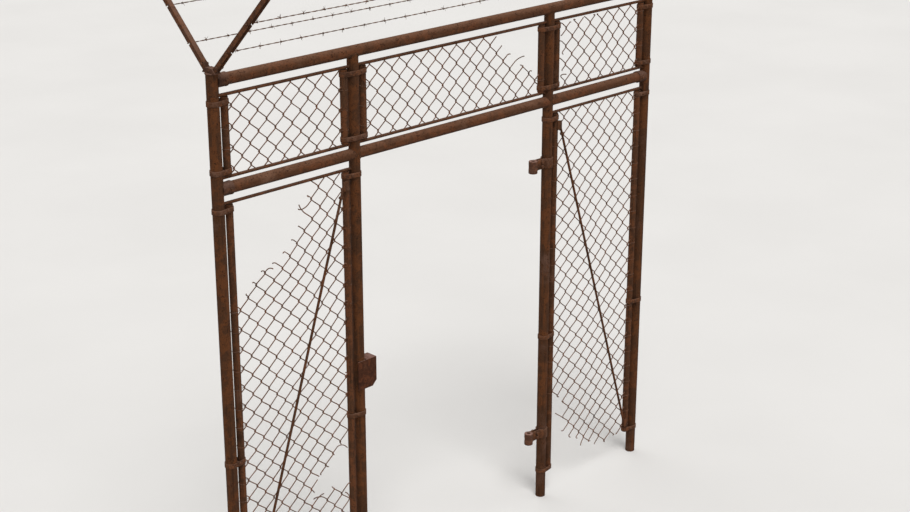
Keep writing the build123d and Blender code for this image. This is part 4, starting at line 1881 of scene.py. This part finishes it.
    def hung(self, panel: Panel, point: Vector) -> Vector:
        """Where a point of the flat sheet hangs: bellied out of line, and pulled about near tears.

        Args:
            panel: The sheet.
            point: The point.

        Returns:
            Where it hangs.
        """
        slack = self.slack(panel, point)
        wave = noise.noise(Vector((point.x, 0.0, point.z)) / self.wave + Vector(self.wave_start))
        pull = noise.noise_vector(Vector((point.x, 40.0, point.z)) / self.pull)
        loose = slack * self.loose[panel.torn]
        belly = (wave * 2.0 + pull.y * 0.4) * panel.bulge * slack
        return point + Vector((pull.x * loose, belly, pull.z * loose))

    def frayed(self, panel: Panel, run: Path, dice: random.Random) -> Path:
        """Finishes a wire's two ends: into the frame where it is held, or bent out where it is torn.

        Args:
            panel: The sheet.
            run: The wire's points in the flat sheet.
            dice: Makes each torn end different.

        Returns:
            The points as they hang, with the ends.
        """
        hanging = [self.hung(panel, point) for point in run]
        for end in (0, -1):
            inner = 1 if end == 0 else -2
            heading = (hanging[end] - hanging[inner]).normalized()
            if self.held(panel, run[end]):
                tail = [hanging[end] + heading * self.welded_in]
            else:
                tail = self.loose_end(hanging[end], heading, dice)
            hanging = tail[::-1] + hanging if end == 0 else hanging + tail
        return hanging

    def loose_end(self, start: Vector, heading: Vector, dice: random.Random) -> Path:
        """A torn wire's end: mostly a short stub bent aside, sometimes a long one that curls.

        Args:
            start: Where the wire leaves the sheet.
            heading: The way it runs there.
            dice: Makes each end different.

        Returns:
            The points that follow the start.
        """
        is_long = dice.random() < self.long_share
        length = dice.uniform(*(self.long_end if is_long else self.short_end))
        count = self.end_points[is_long]
        lean = Vector((dice.uniform(-0.6, 0.6), dice.choice((-1, 1)) * dice.uniform(0.3, 1.0),
                       dice.uniform(-0.8, 0.2)))
        curl = dice.uniform(*self.end_curl) / count
        axis = heading.cross(lean).normalized()
        path = []
        point = start
        for _ in range(count):
            heading = (Quaternion(axis, curl) @ heading).normalized()
            point = point + heading * (length / count)
            path.append(point)
        return path

    def ties(self, panel: Panel) -> list[Path]:
        """Wire ties that hold the sheet to its two side tubes, one at each open diamond.

        Args:
            panel: The sheet.

        Returns:
            Closed paths of the ties.
        """
        layout, half = self.layout, self.half_diamond
        left, right = layout.bays[panel.bay]
        loops = []
        for tube_x, side in ((left + layout.tube_offset, 1), (right - layout.tube_offset, -1)):
            edge = tube_x + side * (layout.tube_r + layout.seat)
            column = ceil(edge / half) if side == 1 else floor(edge / half)
            lowest = min(z for _, z in panel.outline)
            for row in range(floor(lowest / half), ceil(layout.high_bar_z / half)):
                knot = Vector((column * half, 0.0, row * half))
                near = Vector((edge + side * 2.0, 0.0, row * half))
                hooked = self.inside(panel.outline, knot) and self.inside(panel.outline, near)
                if (column + row) % 2 == 0 and hooked:
                    loops.append(self.tie(tube_x, side, knot))
        return loops

    def tie(self, tube_x: float, side: int, knot: Vector) -> Path:
        """One tie, round a side tube and through the diamond next to it.

        Args:
            tube_x: Axis of the tube.
            side: 1 where the sheet lies to the right of the tube, otherwise -1.
            knot: The crossing that it hooks on.

        Returns:
            Its closed path.
        """
        radius = self.layout.tube_r + self.tie_r * 0.8
        tilt = self.tie_tilt[int(knot.z / self.half_diamond) % 4 != 0]
        path = []
        for turn in spaced(pi / 2, 3 * pi / 2, self.tie_steps):
            rise = tilt * sin(turn)
            path.append(Vector((tube_x + side * radius * cos(turn), radius * sin(turn), knot.z + rise)))
        hook = side * (knot.x - tube_x) - self.tie_back
        for reach, depth in self.tie_hook:
            path.append(Vector((tube_x + side * (hook + reach), depth, knot.z + tilt * depth / radius)))
        return path

    def build(self) -> None:
        """Weaves the five sheets."""
        # Unseeded, the noise starts from the clock
        noise.seed_set(self.seed)
        half, finish = self.half_diamond, self.finishes.mesh
        ties: list[Path] = []
        for panel in self.panels():
            dice = random.Random(f"{panel.name} wires")
            xs, zs = zip(*panel.outline)
            runs: list[Path] = []
            for column in range(floor(min(xs) / half) - 1, ceil(max(xs) / half) + 1):
                for run in self.cut(self.zigzag(column, min(zs), max(zs)), panel.outline):
                    runs.append(self.frayed(panel, run, dice))
            sheet = Blank.wires(runs, self.wire_r, 1)
            sheet.fitted(f"{panel.name}_chain_link", finish, Slot.MESH, f"{panel.name}_mesh", crease=75.0)
            ties += self.ties(panel)
        Blank.wires(ties, self.tie_r, 0, True).fitted("mesh_ties", finish, Slot.MESH, crease=85.0)


# Studio


@dataclass
class Lamp:
    """One far, soft lamp, as even over the whole gate as a large studio light."""

    name: str
    towards: Vector
    strength: float
    softness: float  # width of its shadows' edges, in degrees


@dataclass
class Studio:
    """Pale floor, plain soft light, and the camera at the photograph's viewing angle."""

    floor_size: float = 120.0
    floor_squares: int = 8
    world_strength: float = 0.37
    backdrop: str = "#dcdad6"
    eye: Vector = field(default_factory=lambda: Vector((-3.886, -5.2, 4.18)))
    pitch: float = 70.02  # up from straight down
    heading: float = -45.23  # from +Y, with the sign of Blender's Z rotation
    lens: float = 66.3
    sensor: float = 36.0
    furthest: float = 200.0

    def lamps(self) -> list[Lamp]:
        """A high key from the front left, and weak lamps from the right and from behind."""
        return [
            Lamp("key_lamp", Vector((0.35, 0.62, -1.15)), 1.75, 28.0),
            Lamp("side_lamp", Vector((-1.0, 0.35, -0.7)), 0.45, 60.0),
            Lamp("back_lamp", Vector((-0.3, -1.0, -0.9)), 0.55, 60.0),
        ]

    def build(self) -> None:
        """Lays the floor and sets the world, the lamps and the camera."""
        self.lay_floor()
        self.light_world()
        for lamp in self.lamps():
            self.hang(lamp)
        self.set_camera()
        bpy.context.scene.view_settings.view_transform = "Standard"

    def lay_floor(self) -> None:
        """Lays the floor, which is no part of the gate."""
        floor_blank = Blank()
        bmesh.ops.create_grid(floor_blank.mesh, x_segments=self.floor_squares, y_segments=self.floor_squares,
                              size=self.floor_size / 2)
        floor_blank.finished("studio_floor", PaleFloor().material())

    def light_world(self) -> None:
        """Fills the studio with even light, and shows a pale backdrop to the camera."""
        world = bpy.data.worlds.new("studio_world")
        bpy.context.scene.world = world
        tree = bare_tree(world)
        rays = add_node(tree, "ShaderNodeLightPath")
        seen = add_node(tree, "ShaderNodeMath", {
            0: rays.outputs["Is Camera Ray"], 1: rays.outputs["Is Glossy Ray"]}, operation="MAXIMUM")
        fill = add_node(tree, "ShaderNodeBackground", {
            "Color": (1.0, 1.0, 1.0, 1.0), "Strength": self.world_strength})
        shown = add_node(tree, "ShaderNodeBackground", {"Color": linear(self.backdrop), "Strength": 1.0})
        both = add_node(tree, "ShaderNodeMixShader", {
            0: seen.outputs["Value"], 1: fill.outputs["Background"], 2: shown.outputs["Background"]})
        add_node(tree, "ShaderNodeOutputWorld", {"Surface": both.outputs["Shader"]})

    def hang(self, lamp: Lamp) -> None:
        """Hangs one lamp.

        Args:
            lamp: The lamp.
        """
        light = bpy.data.lights.new(lamp.name, "SUN")
        light.energy = lamp.strength
        light.angle = radians(lamp.softness)
        holder = bpy.data.objects.new(lamp.name, light)
        holder.rotation_euler = lamp.towards.to_track_quat("-Z", "Y").to_euler()
        bpy.context.scene.collection.objects.link(holder)

    def set_camera(self) -> None:
        """Sets up the camera."""
        camera = bpy.data.cameras.new("camera")
        camera.lens = self.lens
        camera.sensor_width = self.sensor
        camera.clip_end = self.furthest
        holder = bpy.data.objects.new("camera", camera)
        holder.location = self.eye
        holder.rotation_euler = (radians(self.pitch), 0.0, radians(self.heading))
        bpy.context.scene.collection.objects.link(holder)
        bpy.context.scene.camera = holder


def main() -> None:
    """Builds the gate from the ground up, then the studio round it."""
    logging.basicConfig(level=logging.INFO, format="%(name)s: %(message)s")
    layout = Layout()
    finishes = Finishes()
    for part in (Posts, Rails, RailCups, PanelFrames, TrussRods, Bands, ChainLink):
        part(layout, finishes).build()
    arms = Arms(layout, finishes)
    arms.build()
    BarbedWire(arms, finishes).build()
    Hinges(layout, finishes).build()
    LatchKeeper(layout, finishes).build()
    Studio().build()


if __name__ == "__main__":
    main()
